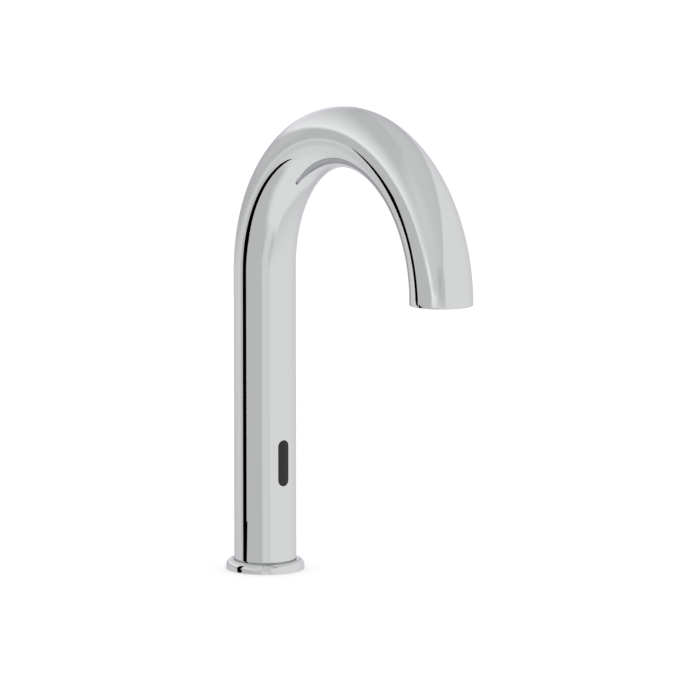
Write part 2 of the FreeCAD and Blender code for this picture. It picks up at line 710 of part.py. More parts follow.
def make_spout_tube():
    """Water tube: up behind the sensor, across to the middle, over the neck and down."""
    body = new_body("spout_tube")
    path = new_sketch(body, "tube_path", "YZ_Plane")
    offset, bend = dim.water_offset.value, dim.water_bend.value
    reach = OUTLET_REACH.value
    turn = math.acos(1 - offset / (2 * JOG_RADIUS))
    rise = 2 * JOG_RADIUS * math.sin(turn)
    geometry = [
        Part.LineSegment(Vector(offset, dim.water_start.value, 0), Vector(offset, JOG_LEVEL, 0)),
        Part.ArcOfCircle(Part.Circle(Vector(offset - JOG_RADIUS, JOG_LEVEL, 0),
                                     Vector(0, 0, 1), JOG_RADIUS), 0, turn),
        Part.ArcOfCircle(Part.Circle(Vector(JOG_RADIUS, JOG_LEVEL + rise, 0),
                                     Vector(0, 0, 1), JOG_RADIUS), math.pi, math.pi + turn),
        Part.LineSegment(Vector(0, JOG_LEVEL + rise, 0), Vector(0, SPRING_LINE, 0)),
        Part.ArcOfCircle(Part.Circle(Vector(-bend, SPRING_LINE, 0),
                                     Vector(0, 0, 1), bend), 0, math.pi / 2),
        Part.LineSegment(Vector(-bend, SPRING_LINE + bend, 0),
                         Vector(bend - reach, SPRING_LINE + bend, 0)),
        Part.ArcOfCircle(Part.Circle(Vector(bend - reach, SPRING_LINE, 0),
                                     Vector(0, 0, 1), bend), math.pi / 2, math.pi),
        Part.LineSegment(Vector(-reach, SPRING_LINE, 0), Vector(-reach, dim.water_end.value, 0)),
    ]
    path.addGeometry(geometry, False)
    run = [f"Edge{number}" for number in range(1, len(geometry) + 1)]
    start = (0, dim.water_offset, dim.water_start)
    sweep_round(body, "tube_outside", path, run, dim.water_radius, start)
    sweep_round(body, "tube_bore", path, run, dim.water_bore, start, "Subtractive")
    return body


def make_lower_tube_nut():
    return turned_piece("lower_tube_nut", [
        (dim.water_radius, 0), (dim.nut_spigot, 0), (dim.nut_spigot, 2), (6, 2), (6, 5.5),
        (5.4, 6.1), (dim.water_radius, 6.1)], 0, dim.water_offset, dim.block_top - 2)


def make_upper_tube_nut():
    return turned_piece("upper_tube_nut", [
        (dim.water_radius, 0), (7, 0), (7, 4.6), (6.4, 5.2), (dim.water_radius, 5.2)],
        0, -OUTLET_REACH, dim.water_end + 4)


# --- sensor -----------------------------------------------------------------------------

def make_sensor_window():
    """Dark lens: a plug in the column's opening on a flange that bears on the bore."""
    body = new_body("sensor_window")
    back = dim.module_front + dim.gasket_frame
    rim = dim.window_rim * 2
    flange = new_sketch(body, "flange_outline", "XZ_Plane", back)
    draw_upright_slot(flange, dim.window_level, dim.window_width + rim, dim.window_height + rim)
    extrude(body, "flange", flange, 6)
    revolve(body, "flange_face", tube_outline(
        dim.tube_bore, 30, dim.window_level - 30, dim.window_level + 30), "Groove")
    plug = new_sketch(body, "plug_outline", "XZ_Plane", back)
    play = dim.window_play * 2
    draw_upright_slot(plug, dim.window_level, dim.window_width - play, dim.window_height - play)
    extrude(body, "plug", plug, 6)
    revolve(body, "plug_face", tube_outline(
        dim.window_face, 30, dim.window_level - 30, dim.window_level + 30), "Groove")
    return body


def make_window_gasket():
    """Rubber frame between the lens and the sensor housing."""
    body = new_body("window_gasket")
    frame = new_sketch(body, "frame_outline", "XZ_Plane", dim.module_front)
    rim = dim.window_rim * 2
    draw_upright_slot(frame, dim.window_level, dim.window_width + rim, dim.window_height + rim)
    draw_upright_slot(frame, dim.window_level, dim.window_width, dim.window_height)
    extrude(body, "frame", frame, dim.gasket_frame)
    return body


def draw_panel(sketch, half_width, half_height):
    """An upright rectangle centred on the window."""
    low = dim.window_level - half_height
    high = dim.window_level + half_height
    draw_outline(sketch, [(-half_width, low), (half_width, low),
                          (half_width, high), (-half_width, high)])


def make_sensor_housing():
    """Moulded box behind the window, open at the back, with an eye for each diode."""
    body = new_body("sensor_housing")
    wall = dim.module_wall
    face = new_sketch(body, "housing_outline", "XZ_Plane", dim.module_back)
    draw_panel(face, dim.module_half, dim.module_rise)
    extrude(body, "housing_block", face, dim.module_front - dim.module_back)
    inside = new_sketch(body, "cavity_outline", "XZ_Plane", dim.module_back)
    draw_panel(inside, dim.module_half - wall, dim.module_rise - wall)
    extrude(body, "cavity", inside, dim.module_front - dim.module_back - wall, "Pocket", True)
    for side, sign in (("emitter", 1), ("receiver", -1)):
        cylinder(body, f"{side}_eye", 2.6, 6, 0, -dim.module_front - 1,
                 dim.window_level + dim.eye_rise * sign, "Y")
    return body


BOARD_BACK = dim.module_back + dim.module_wall


def make_sensor_board():
    body = new_body("sensor_board")
    face = new_sketch(body, "board_outline", "XZ_Plane", BOARD_BACK)
    draw_panel(face, dim.module_half - dim.module_wall, dim.module_rise - dim.module_wall)
    extrude(body, "board", face, dim.board_thickness)
    return body


DIODE_RADIUS = 2.5


def make_diode(name, sign):
    """Domed infrared diode that stands on the board and looks through the window."""
    body = new_body(name)
    base = BOARD_BACK + dim.board_thickness
    level = dim.window_level + dim.eye_rise * sign
    cylinder(body, f"{name}_base", 2.9, 0.8, 0, -base, level, "-Y", "Additive")
    cylinder(body, f"{name}_barrel", DIODE_RADIUS, DIODE_RADIUS, 0, -base, level, "-Y", "Additive")
    dome = body.newObject("PartDesign::AdditiveSphere", f"{name}_dome")
    dome.Radius = DIODE_RADIUS
    place(dome, 0, -(base + DIODE_RADIUS), level)
    return body


def make_sensor_cover():
    """Closes the housing behind the board; the two leads pass through it."""
    body = new_body("sensor_cover")
    face = new_sketch(body, "cover_outline", "XZ_Plane", dim.module_back)
    draw_panel(face, dim.module_half - dim.module_wall, dim.module_rise - dim.module_wall)
    extrude(body, "cover_plate", face, dim.module_wall)
    for name, level in (("supply_hole", SUPPLY_LEVEL), ("valve_hole", VALVE_LEAD_LEVEL)):
        cylinder(body, name, dim.lead_radius, 6, LEAD_SIDE, -dim.module_back - 3, level, "Y")
    return body


SUPPLY_LEVEL = dim.window_level - 4.9
VALVE_LEAD_LEVEL = dim.window_level - 10.4
LEAD_SIDE = as_size(-5)


def make_sensor_wedge():
    """Moulded U that presses the sensor forward; the water tube passes between its legs."""
    body = new_body("sensor_wedge")
    low = dim.window_level + 1
    disc = new_sketch(body, "wedge_outline", "XY_Plane", low)
    draw_circle(disc, 0, 0, dim.tube_bore)
    extrude(body, "wedge_block", disc, 12)
    front = -dim.module_back
    room = new_sketch(body, "wedge_room", "XY_Plane", low)
    draw_outline(room, [(-20, -20), (20, -20), (20, front), (-20, front)])
    extrude(body, "module_room", room, 12, "Pocket", True)
    gap = new_sketch(body, "wedge_gap", "XY_Plane", low)
    draw_outline(gap, [(-8, front + 2), (8, front + 2), (8, 20), (-8, 20)])
    extrude(body, "tube_gap", gap, 12, "Pocket", True)
    return body


def make_lead(name, points, bend):
    lead = doc.addObject("Part::Feature", name)
    lead.Label = name
    lead.Shape = lead_shape(points, bend, dim.lead_radius.value)
    lead.Placement = Placement()
    return lead


def make_leads():
    """Supply lead from the base, and the lead between the sensor board and the coil."""
    side = LEAD_SIDE.value
    board = -BOARD_BACK.value
    supply_x, supply_y = -dim.lead_side.value, dim.lead_back.value
    level = SUPPLY_LEVEL.value
    supply = make_lead("power_lead", [
        Vector(supply_x, supply_y, 12), Vector(supply_x, supply_y, level - 8),
        Vector(side, 3, level), Vector(side, board, level)], 5)
    level = VALVE_LEAD_LEVEL.value
    terminal = -dim.valve_offset.value + 8.2
    valve = make_lead("valve_lead", [
        Vector(side, terminal, BOBBIN_HIGH.value), Vector(side, terminal, level),
        Vector(side, board, level)], 4)
    return [supply, valve]


# --- outlet -----------------------------------------------------------------------------

CARRIER_LEVEL = OUTLET_LEVEL + dim.mouth_recess


def make_aerator_carrier():
    """Brass sleeve in the mouth: the tube enters above, the aerator screws in below."""
    flange = dim.tube_bore - 0.1
    groove = flange - 1.2
    return turned_piece("aerator_carrier", [
        (dim.aerator_radius, 0), (dim.tube_bore, 0), (dim.tube_bore, 0.8), (groove, 0.8),
        (groove, 2.2),
        (flange, 2.2), (flange, 3), (dim.carrier_radius, 3), (dim.carrier_radius, 10),
        (dim.carrier_radius - 1, 11), (7, 11), (7, dim.water_end - CARRIER_LEVEL + 4),
        (dim.water_radius, dim.water_end - CARRIER_LEVEL + 4),
        (dim.water_radius, dim.water_end - CARRIER_LEVEL),
        (dim.water_bore, dim.water_end - CARRIER_LEVEL),
        (dim.water_bore, 10.6), (8, 10.6), (8, 8.6), (dim.aerator_radius, 8.6)],
        0, -OUTLET_REACH, CARRIER_LEVEL)


def make_carrier_seal():
    outer = dim.tube_bore - 0.05
    return turned_piece("carrier_seal", tube_outline(dim.tube_bore - 1.3, outer, 0.8, 2.2),
                        0, -OUTLET_REACH, CARRIER_LEVEL)


def make_aerator_housing():
    """Aerator shell with key slots in its lower rim."""
    body = turned_piece("aerator_housing", [
        (dim.aerator_bore - 1, -1), (dim.aerator_radius - 0.4, -1),
        (dim.aerator_radius, -0.6), (dim.aerator_radius, 8),
        (dim.aerator_bore, 8), (dim.aerator_bore, 0), (dim.aerator_bore - 1, 0)],
        0, -OUTLET_REACH, CARRIER_LEVEL)
    slot = cylinder(body, "key_slot", 0.8, 0.7, dim.aerator_radius, 0, -1)
    polar_pattern(body, "key_slots", slot, 8)
    return body


def make_aerator_seal():
    return turned_piece("aerator_seal", tube_outline(8, dim.aerator_radius, 8, 8.6),
                        0, -OUTLET_REACH, CARRIER_LEVEL)


def make_flow_regulator():
    """Disc with an O-ring groove in which the flow narrows as pressure rises."""
    body = turned_piece("flow_regulator", [
        (0, 5.6), (dim.aerator_bore, 5.6), (dim.aerator_bore, 8), (7, 8), (7, 6.8),
        (4.6, 6.8), (4.6, 7.8), (0, 7.8)], 0, -OUTLET_REACH, CARRIER_LEVEL)
    hole = cylinder(body, "flow_hole", dim.flow_radius, 4, 5.6, 0, 5)
    polar_pattern(body, "flow_holes", hole, 8)
    return body


def make_aerator_diffuser():
    """Drilled plate that breaks the stream into jets."""
    body = turned_piece("aerator_diffuser", [
        (0, 4), (dim.aerator_bore, 4), (dim.aerator_bore, 5.6), (9, 5.6), (9, 4.9), (0, 4.9)],
        0, -OUTLET_REACH, CARRIER_LEVEL)
    for number, (radius, count) in enumerate(((3, 6), (6.5, 12)), start=1):
        hole = cylinder(body, f"jet_hole_{number}", dim.jet_radius, 4, radius, 0, 3)
        polar_pattern(body, f"jet_holes_{number}", hole, count)
    return body


def make_aerator_screen():
    """Fine mesh disc in its frame, under the diffuser."""
    return turned_piece("aerator_screen", [
        (0, 3.2), (8.8, 3.2), (8.8, dim.grid_height), (dim.aerator_bore, dim.grid_height),
        (dim.aerator_bore, 4), (8.8, 4), (8.8, 3.6), (0, 3.6)],
        0, -OUTLET_REACH, CARRIER_LEVEL)


def make_outlet_grid():
    """Honeycomb straightener at the mouth: rings of hexagonal cells about a middle one."""
    body = turned_piece("outlet_grid", [
        (0, 0), (dim.aerator_bore, 0), (dim.aerator_bore, dim.grid_height),
        (0, dim.grid_height)], 0, -OUTLET_REACH, CARRIER_LEVEL)
    rings = 3
    middle = new_sketch(body, "middle_cell", "XY_Plane")
    draw_hexagon(middle, 0, 0, dim.cell_corner)
    extrude(body, "middle_hole", middle, dim.grid_height, "Pocket", True)
    row = new_sketch(body, "sixth_of_cells", "XY_Plane")
    for ring in range(1, rings + 1):
        for step in range(ring):
            along = ring - step * math.cos(math.radians(60))
            across = step * math.sin(math.radians(60))
            draw_hexagon(row, dim.cell_pitch * along, dim.cell_pitch * across, dim.cell_corner)
    cells = extrude(body, "cells", row, dim.grid_height, "Pocket", True)
    polar_pattern(body, "honeycomb", cells, 6)
    return body


# --- build, check and write ---------------------------------------------------------------

PIECES = [
    make_spout_body(), make_base_ring(), make_deck_gasket(), make_base_insert(),
    make_inlet_strainer(), make_power_connector(),
    make_valve_block(), make_inlet_seal(), make_passage_plug(), make_diaphragm(),
    make_diaphragm_disc(), make_valve_bonnet(), make_valve_screws(), make_guide_seal(),
    make_guide_tube(), make_plunger(), make_pilot_seal(), make_plunger_spring(),
    make_fixed_core(), make_coil_bobbin(), make_coil_winding(), make_coil_frame(),
    make_coil_nut(), make_spout_tube(), make_lower_tube_nut(), make_upper_tube_nut(),
    make_sensor_window(), make_window_gasket(), make_sensor_housing(), make_sensor_board(),
    make_diode("infrared_emitter", 1), make_diode("infrared_receiver", -1),
    make_sensor_cover(), make_sensor_wedge(), *make_leads(),
    make_aerator_carrier(), make_carrier_seal(), make_aerator_housing(),
    make_aerator_seal(), make_flow_regulator(), make_aerator_diffuser(),
    make_aerator_screen(), make_outlet_grid(),
]

doc.recompute()
for item in doc.Objects:
    if "Invalid" in item.State or "Error" in item.State:
        raise RuntimeError(f"{item.Name} failed: {item.State}")

os.makedirs("parts", exist_ok=True)
for piece in PIECES:
    shape = piece.Shape
    if shape.isNull() or not shape.isValid() or not shape.Solids:
        raise RuntimeError(f"{piece.Label} has no valid solid")
    shape.exportStep(f"parts/{piece.Label}.step")
    print(f"{piece.Label}: {len(shape.Solids)} solid(s), {shape.Volume:.1f} mm3")
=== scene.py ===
import math

import bpy
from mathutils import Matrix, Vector


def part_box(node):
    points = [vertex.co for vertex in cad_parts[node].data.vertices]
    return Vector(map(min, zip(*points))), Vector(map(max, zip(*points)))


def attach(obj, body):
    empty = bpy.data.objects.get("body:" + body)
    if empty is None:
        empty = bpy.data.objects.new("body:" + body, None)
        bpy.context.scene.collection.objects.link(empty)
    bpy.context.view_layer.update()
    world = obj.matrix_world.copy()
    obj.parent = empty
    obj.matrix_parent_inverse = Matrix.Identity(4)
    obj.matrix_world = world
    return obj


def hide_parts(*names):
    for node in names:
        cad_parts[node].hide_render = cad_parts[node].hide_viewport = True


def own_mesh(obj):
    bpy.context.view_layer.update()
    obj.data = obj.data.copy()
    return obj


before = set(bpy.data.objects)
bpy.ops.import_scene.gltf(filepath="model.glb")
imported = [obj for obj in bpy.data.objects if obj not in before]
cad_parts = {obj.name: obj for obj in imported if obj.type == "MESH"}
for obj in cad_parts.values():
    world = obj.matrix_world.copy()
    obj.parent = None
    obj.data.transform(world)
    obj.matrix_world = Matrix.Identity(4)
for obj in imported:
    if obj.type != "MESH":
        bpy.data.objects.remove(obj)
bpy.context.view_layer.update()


# Column and swan neck. One brass tube, drawn straight, rounded at the mouth, bent over a
# former and a little slimmer at the top of the bend, then polished, nickelled and chromed.
# The slot for the sensor's window is milled through its front wall.

class Wire:
    """One socket of a node tree. Arithmetic on it adds Math nodes, and node() adds any other."""

    def __init__(self, tree, socket=None):
        self.tree = tree
        self.socket = socket

    def node(self, kind, settings=None, inputs=None, output=0):
        """Adds a node, its settings first and then its inputs, which are values or Wires."""
        made = self.tree.nodes.new(kind)
        for name, value in (settings or {}).items():
            setattr(made, name, value)
        for name, value in (inputs or {}).items():
            if isinstance(value, Wire):
                self.tree.links.new(value.socket, made.inputs[name])
            else:
                made.inputs[name].default_value = value
        return Wire(self.tree, made.outputs[output])

    def math(self, operation, *others):
        return self.node("ShaderNodeMath", {"operation": operation},
                         dict(enumerate((self, *others))))

    def at_least(self, value):
        return self.math("MAXIMUM", value)

    def at_most(self, value):
        return self.math("MINIMUM", value)

    def smooth(self, low, high):
        """0 below low, 1 above high and a smooth rise between."""
        return self.node("ShaderNodeMapRange", {"interpolation_type": "SMOOTHSTEP"},
                         {"Value": self, "From Min": low, "From Max": high})

    def fade(self, low, high):
        """1 below low, 0 above high and a smooth fall between."""
        return 1 - self.smooth(low, high)

    def between(self, rise, fall):
        """Rises over the first pair of values and falls over the second."""
        return self.smooth(*rise) * self.fade(*fall)

    def axis(self, name):
        """One coordinate of a vector."""
        return self.node("ShaderNodeSeparateXYZ", None, {0: self}, name)

    def vector(self, **axes):
        """A vector of these coordinates."""
        return self.node("ShaderNodeCombineXYZ", None, axes)

    def __add__(self, other):
        return self.math("ADD", other)

    def __sub__(self, other):
        return self.math("SUBTRACT", other)

    def __rsub__(self, other):
        return self.node("ShaderNodeMath", {"operation": "SUBTRACT"}, {0: other, 1: self})

    def __mul__(self, other):
        return self.math("MULTIPLY", other)

    def __truediv__(self, other):
        return self.math("DIVIDE", other)

    def __mod__(self, other):
        return self.math("MODULO", other)

    def __pow__(self, other):
        return self.math("POWER", other)

    def __abs__(self):
        return self.math("ABSOLUTE")

    def __gt__(self, other):
        return self.math("GREATER_THAN", other)

    def __lt__(self, other):
        return self.math("LESS_THAN", other)

    __radd__ = __add__
    __rmul__ = __mul__


def placed(name, data):
    """An object of this name and data, linked to the scene."""
    made = bpy.data.objects.new(name, data)
    bpy.context.scene.collection.objects.link(made)
    return made


def geometry_tree(name, sizes, whole=()):
    """A Geometry Nodes tree with one named input for each size; returns it and its inputs."""
    tree = bpy.data.node_groups.new(name, "GeometryNodeTree")
    for size in sizes:
        kind = "NodeSocketInt" if size in whole else "NodeSocketFloat"
        tree.interface.new_socket(size, in_out="INPUT", socket_type=kind)
    tree.interface.new_socket("Finish", in_out="INPUT", socket_type="NodeSocketMaterial")
    tree.interface.new_socket("Geometry", in_out="OUTPUT", socket_type="NodeSocketGeometry")
    entry = tree.nodes.new("NodeGroupInput")
    return tree, {socket.name: Wire(tree, socket) for socket in entry.outputs if socket.name}


def close_tree(shape, finish):
    """Ends a tree: instances made real, the finish set, the result handed out."""
    real = shape.node("GeometryNodeRealizeInstances", None, {0: shape})
    coated = real.node("GeometryNodeSetMaterial", None, {"Geometry": real, "Material": finish})
    leave = shape.tree.nodes.new("NodeGroupOutput")
    shape.tree.links.new(coated.socket, leave.inputs[0])


def grown(name, tree, sizes, finish):
    """The plain mesh object that a Geometry Nodes tree makes of these sizes."""
    seed = placed(name + "_seed", bpy.data.meshes.new(name + "_seed"))
    modifier = seed.modifiers.new("Shape", "NODES")
    modifier.node_group = tree
    for item in tree.interface.items_tree:
        if item.in_out == "INPUT":
            modifier[item.identifier] = finish if item.name == "Finish" else sizes[item.name]
    bpy.context.view_layer.update()
    graph = bpy.context.evaluated_depsgraph_get()
    mesh = bpy.data.meshes.new_from_object(seed.evaluated_get(graph))
    mesh.name = name
    bpy.data.objects.remove(seed)
    return placed(name, mesh)


def finish_of(name, fixed=None):
    """A material with these fixed shader values, its Principled shader and a Wire into it."""
    material = bpy.data.materials.new(name)
    material.use_nodes = True
    shader = material.node_tree.nodes["Principled BSDF"]
    for socket, value in (fixed or {}).items():
        shader.inputs[socket].default_value = value
    return material, shader, Wire(material.node_tree)


def feed(shader, name, wire):
    wire.tree.links.new(wire.socket, shader.inputs[name])


def own_place(wire):
    """Where a point lies on the piece, in metres."""
    return wire.node("ShaderNodeTexCoord", output="Object")


def noise(wire, cells, detail):
    """Noise of this many cells to the metre, fixed on the piece."""
    return wire.node("ShaderNodeTexNoise", None, {
        "Vector": own_place(wire), "Scale": cells, "Detail": detail})


def relief(height, depth):
    return height.node("ShaderNodeBump", None, {"Height": height, "Distance": depth})


CHROME_TONE = (0.55, 0.562, 0.556, 1)
CHROME_EDGE = (0.74, 0.72, 0.78, 1)
CHROME_ROUGHNESS, CHROME_SPREAD, POLISH_CELLS = 0.008, 0.008, 60
RIPPLE_CELLS, RIPPLE_DEPTH = 25, 0.000003

chrome, shader, wire = finish_of("polished_chrome", {
    "Base Color": CHROME_TONE, "Specular Tint": CHROME_EDGE, "Metallic": 1})
feed(shader, "Roughness", CHROME_ROUGHNESS + CHROME_SPREAD * noise(wire, POLISH_CELLS, detail=1))
feed(shader, "Normal", relief(noise(wire, RIPPLE_CELLS, detail=0), RIPPLE_DEPTH))

low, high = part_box("spout_body")
TUBE_RADIUS = high.x
TUBE_WALL = 0.0025
FOOT_LEVEL = low.z
REACH = -low.y - TUBE_RADIUS
BEND_RADIUS = REACH / 2
BEND_STRETCH = 1.01
BEND_RISE = BEND_RADIUS * BEND_STRETCH
COLUMN_HEIGHT = high.z - BEND_RADIUS - TUBE_RADIUS
OUTLET_TAIL = 0.0018
SLIMMING = 0.0375
LIP_ROUND = 0.0006
WINDOW_LEVEL = 0.0709
WINDOW_WIDTH = 0.0081
WINDOW_HEIGHT = 0.0298

LIP_STEPS, ROUND_STEPS = 5, 24      # steps in the lip's corner, and in the window's round ends
FIRST_RING = (0.6, 1.6)             # where the ring next to an end is looked for, in spacings
LIP_HOLD = 2                        # how far that ring then stands from the end, in lip rounds
CUTTER_REACH = 0.6                  # where the slot's cutter starts, and how long it is, in radii
WELD_GAP = 1e-6
SHARP_EDGE = 32                     # degrees

tree, size = geometry_tree("bent_tube", (
    "Foot Level", "Column Height", "Bend Radius", "Bend Rise", "Outlet Tail", "Tube Radius",
    "Wall", "Lip Round", "Slimming", "Rings", "Sides", "Window Level", "Window Width",
    "Window Height"), ("Rings", "Sides"))

# The wall's section: a long thin loop with round ends, cut into rings along its two sides.
bend_length = size["Bend Radius"] * math.pi
tube_end = size["Column Height"] + bend_length + size["Outlet Tail"]
tube_length = tube_end - size["Foot Level"]
section = tube_end.node("GeometryNodeCurvePrimitiveQuadrilateral", None, {
    "Width": size["Wall"], "Height": tube_length})
section = section.node("GeometryNodeFilletCurve", {"mode": "POLY"}, {
    "Curve": section, "Count": LIP_STEPS, "Radius": size["Lip Round"], "Limit Radius": True})
place = section.node("GeometryNodeInputPosition")
number = section.node("GeometryNodeInputIndex")
corners = section.node("GeometryNodeAttributeDomainSize", {"component": "CURVE"}, {0: section})
next_place = place.node("GeometryNodeFieldAtIndex", {"data_type": "FLOAT_VECTOR"}, {
    "Index": (number + 1) % corners, "Value": place})
gap = place.node("ShaderNodeVectorMath", {"operation": "DISTANCE"}, {
    0: place, 1: next_place}, "Value")
section = section.node("GeometryNodeSubdivideCurve", None, {
    "Curve": section, "Cuts": (gap > tube_length * 0.5) * size["Rings"]})

# The ring next to each end moves up to the lip, so that the lip shades crisply.
along_wall = place.axis("Y")
end_gap = tube_length * 0.5 - abs(along_wall)
spacing = tube_length / size["Rings"]
near_end = (end_gap > spacing * FIRST_RING[0]) * (end_gap < spacing * FIRST_RING[1])
to_lip = section.vector(Y=along_wall.math("SIGN") * (end_gap - size["Lip Round"] * LIP_HOLD))
section = section.node("GeometryNodeSetPosition", None, {
    "Geometry": section, "Selection": near_end, "Offset": to_lip})
hoop = section.node("GeometryNodeCurvePrimitiveCircle", {"mode": "RADIUS"}, {
    "Resolution": size["Sides"], "Radius": size["Tube Radius"] - size["Wall"] * 0.5})
pipe = hoop.node("GeometryNodeCurveToMesh", None, {"Curve": hoop, "Profile Curve": section})

# The straight pipe becomes the column, half a turn over it, and the tail at the outlet.
past_column = place.axis("Z") + tube_length * 0.5 + size["Foot Level"] - size["Column Height"]
share = (past_column / bend_length).at_most(1).at_least(0)
turn = share * math.pi
sine, cosine = turn.math("SINE"), turn.math("COSINE")
slim = 1 - size["Slimming"] * sine
straight = past_column - share * bend_length
across = place.axis("Y") * slim
bent = place.vector(
    X=place.axis("X") * slim,
    Y=size["Bend Radius"] * (cosine - 1) + across * cosine,
    Z=(size["Column Height"] + size["Bend Rise"] * sine + across * sine
       + straight.at_most(0) - straight.at_least(0)))
pipe = pipe.node("GeometryNodeSetPosition", None, {"Geometry": pipe, "Position": bent})

# The slot's cutter: a round-ended plate, closed at the back, that reaches out of the front.
slot = section.node("GeometryNodeCurvePrimitiveQuadrilateral", None, {
    "Width": size["Window Width"], "Height": size["Window Height"]})
slot = slot.node("GeometryNodeFilletCurve", {"mode": "POLY"}, {
    "Curve": slot, "Count": ROUND_STEPS, "Radius": size["Window Width"] * 0.5,
    "Limit Radius": True})
plate = slot.node("GeometryNodeFillCurve", {"mode": "NGONS"}, {"Curve": slot})
cutter = plate.node("GeometryNodeExtrudeMesh", None, {
    "Mesh": plate, "Offset Scale": size["Tube Radius"] * CUTTER_REACH, "Individual": False})
cap = plate.node("GeometryNodeFlipFaces", None, {"Mesh": plate})
joined = cutter.node("GeometryNodeJoinGeometry")
for part in (cutter, cap):
    tree.links.new(part.socket, joined.socket.node.inputs[0])
cutter = joined.node("GeometryNodeMergeByDistance", None, {
    "Geometry": joined, "Distance": WELD_GAP})
to_front = cutter.vector(Y=size["Tube Radius"] * -CUTTER_REACH, Z=size["Window Level"])
cutter = cutter.node("GeometryNodeTransform", None, {
    "Geometry": cutter, "Translation": to_front, "Rotation": (math.pi / 2, 0, 0)})
cut = pipe.node("GeometryNodeMeshBoolean", {"operation": "DIFFERENCE", "solver": "EXACT"}, {
    "Mesh 1": pipe, "Mesh 2": cutter})
edge_angle = cut.node("GeometryNodeInputMeshEdgeAngle")
cut = cut.node("GeometryNodeSetShadeSmooth", {"domain": "EDGE"}, {
    "Geometry": cut, "Selection": edge_angle > math.radians(SHARP_EDGE), "Shade Smooth": False})
close_tree(cut, size["Finish"])

swan_neck = grown("swan_neck", tree, {
    "Foot Level": FOOT_LEVEL, "Column Height": COLUMN_HEIGHT, "Bend Radius": BEND_RADIUS,
    "Bend Rise": BEND_RISE, "Outlet Tail": OUTLET_TAIL, "Tube Radius": TUBE_RADIUS,
    "Wall": TUBE_WALL, "Lip Round": LIP_ROUND, "Slimming": SLIMMING, "Rings": 150, "Sides": 192,
    "Window Level": WINDOW_LEVEL, "Window Width": WINDOW_WIDTH, "Window Height": WINDOW_HEIGHT,
}, chrome)
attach(swan_neck, "tap")
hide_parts("spout_body")


# Base ring. A brass ring turned on a lathe, with a round shoulder, polished and chromed like
# the neck. It stands on the deck over a rubber gasket, and the column stands in its recess.

def soften(mesh, sharp):
    """Shades a mesh smooth, but for edges that turn by more than sharp degrees."""
    mesh.shade_smooth()
    mesh.set_sharp_from_angle(angle=math.radians(sharp))


def meshed(name, corners, faces, finish):
    """An object of these corners and faces, flat shaded."""
    mesh = bpy.data.meshes.new(name)
    mesh.from_pydata(corners, [], faces)
    mesh.materials.append(finish)
    return placed(name, mesh)


def turned(name, outline, sides, finish):
    """A closed piece of revolution about the origin's Z: outline is a loop of (radius, level)."""
    corners = [(radius * math.cos(turn), radius * math.sin(turn), level)
               for turn in (math.tau * step / sides for step in range(sides))
               for radius, level in outline]
    count = len(outline)
    faces = [(side * count + spot, (side + 1) % sides * count + spot,
              (side + 1) % sides * count + (spot + 1) % count, side * count + (spot + 1) % count)
             for side in range(sides) for spot in range(count)]
    piece = meshed(name, corners, faces, finish)
    soften(piece.data, SHARP_EDGE)
    return piece


def arc(centre, radius, start, end, steps):
    """Points of a round, from one angle to another in degrees."""
    turns = [math.radians(start + (end - start) * step / steps) for step in range(steps + 1)]
    return [(centre[0] + radius * math.cos(turn), centre[1] + radius * math.sin(turn))
            for turn in turns]


low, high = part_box("base_ring")
RING_RADIUS, RING_HEIGHT = high.x, high.z
RING_DOME, DOME_TURN, DOME_STEPS = 0.0042, 81, 16
RING_FOOT, FOOT_STEPS = 0.0005, 4
RING_SIDES = 160
RECESS_PLAY, BORE_PLAY, RECESS_LIP = 0.00025, 0.0001, 0.0004
RECESS = TUBE_RADIUS + RECESS_PLAY
BORE = TUBE_RADIUS - TUBE_WALL + BORE_PLAY
outline = [(BORE, 0.0), (RING_RADIUS - RING_FOOT, 0.0)]
outline += arc((RING_RADIUS - RING_FOOT, RING_FOOT), RING_FOOT, -90, 0, FOOT_STEPS)[1:]
outline += arc((RING_RADIUS - RING_DOME, RING_HEIGHT - RING_DOME), RING_DOME, 0, DOME_TURN,
               DOME_STEPS)
outline += [(RECESS, RING_HEIGHT - RECESS_LIP), (RECESS, FOOT_LEVEL), (BORE, FOOT_LEVEL)]
plinth_ring = turned("plinth_ring", outline, RING_SIDES, chrome)
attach(plinth_ring, "tap")
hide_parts("base_ring")


# Deck gasket. A flat ring of black rubber in a groove under the base ring, which it keeps
# from marking the deck. It is pressed to the groove's depth.

def dress(finish, *nodes):
    """Gives a finish to CAD nodes whose shapes are right as they are."""
    for node in nodes:
        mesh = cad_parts[node].data
        mesh.materials.clear()
        mesh.materials.append(finish)


def blend_colour(share, dark, pale):
    """Two colours mixed. 6 and 7 are the Mix node's sockets for colours, and 2 its result."""
    return share.node("ShaderNodeMix", {"data_type": "RGBA"}, {
        "Factor": share, 6: (*dark, 1), 7: (*pale, 1)}, 2)


def clouded(name, dark, pale, roughness, cells, contrast, spread, metallic=0):
    """A finish with a clouded colour and uneven gloss: material, shader and Wire."""
    material, shader, wire = finish_of(name, {"Metallic": metallic})
    clouds = noise(wire, cells, detail=3)
    feed(shader, "Base Color", blend_colour(clouds.smooth(*contrast), dark, pale))
    feed(shader, "Roughness", roughness + spread * (clouds - 0.5))
    return material, shader, wire


MOULD_CONTRAST, MOULD_SPREAD, GRAIN_DEPTH = (0.35, 0.65), 0.12, 0.00001


def moulded(name, dark, pale, roughness, cells=120, grain=2500):
    """A moulded finish: clouded colour, uneven gloss and the mould's fine grain."""
    material, shader, wire = clouded(
        name, dark, pale, roughness, cells, MOULD_CONTRAST, MOULD_SPREAD)
    feed(shader, "Normal", relief(noise(wire, grain, detail=2), GRAIN_DEPTH))
    return material


black_rubber = moulded(
    "black_rubber", dark=(0.012, 0.012, 0.012), pale=(0.024, 0.024, 0.023), roughness=0.62)
dress(black_rubber, "deck_gasket")


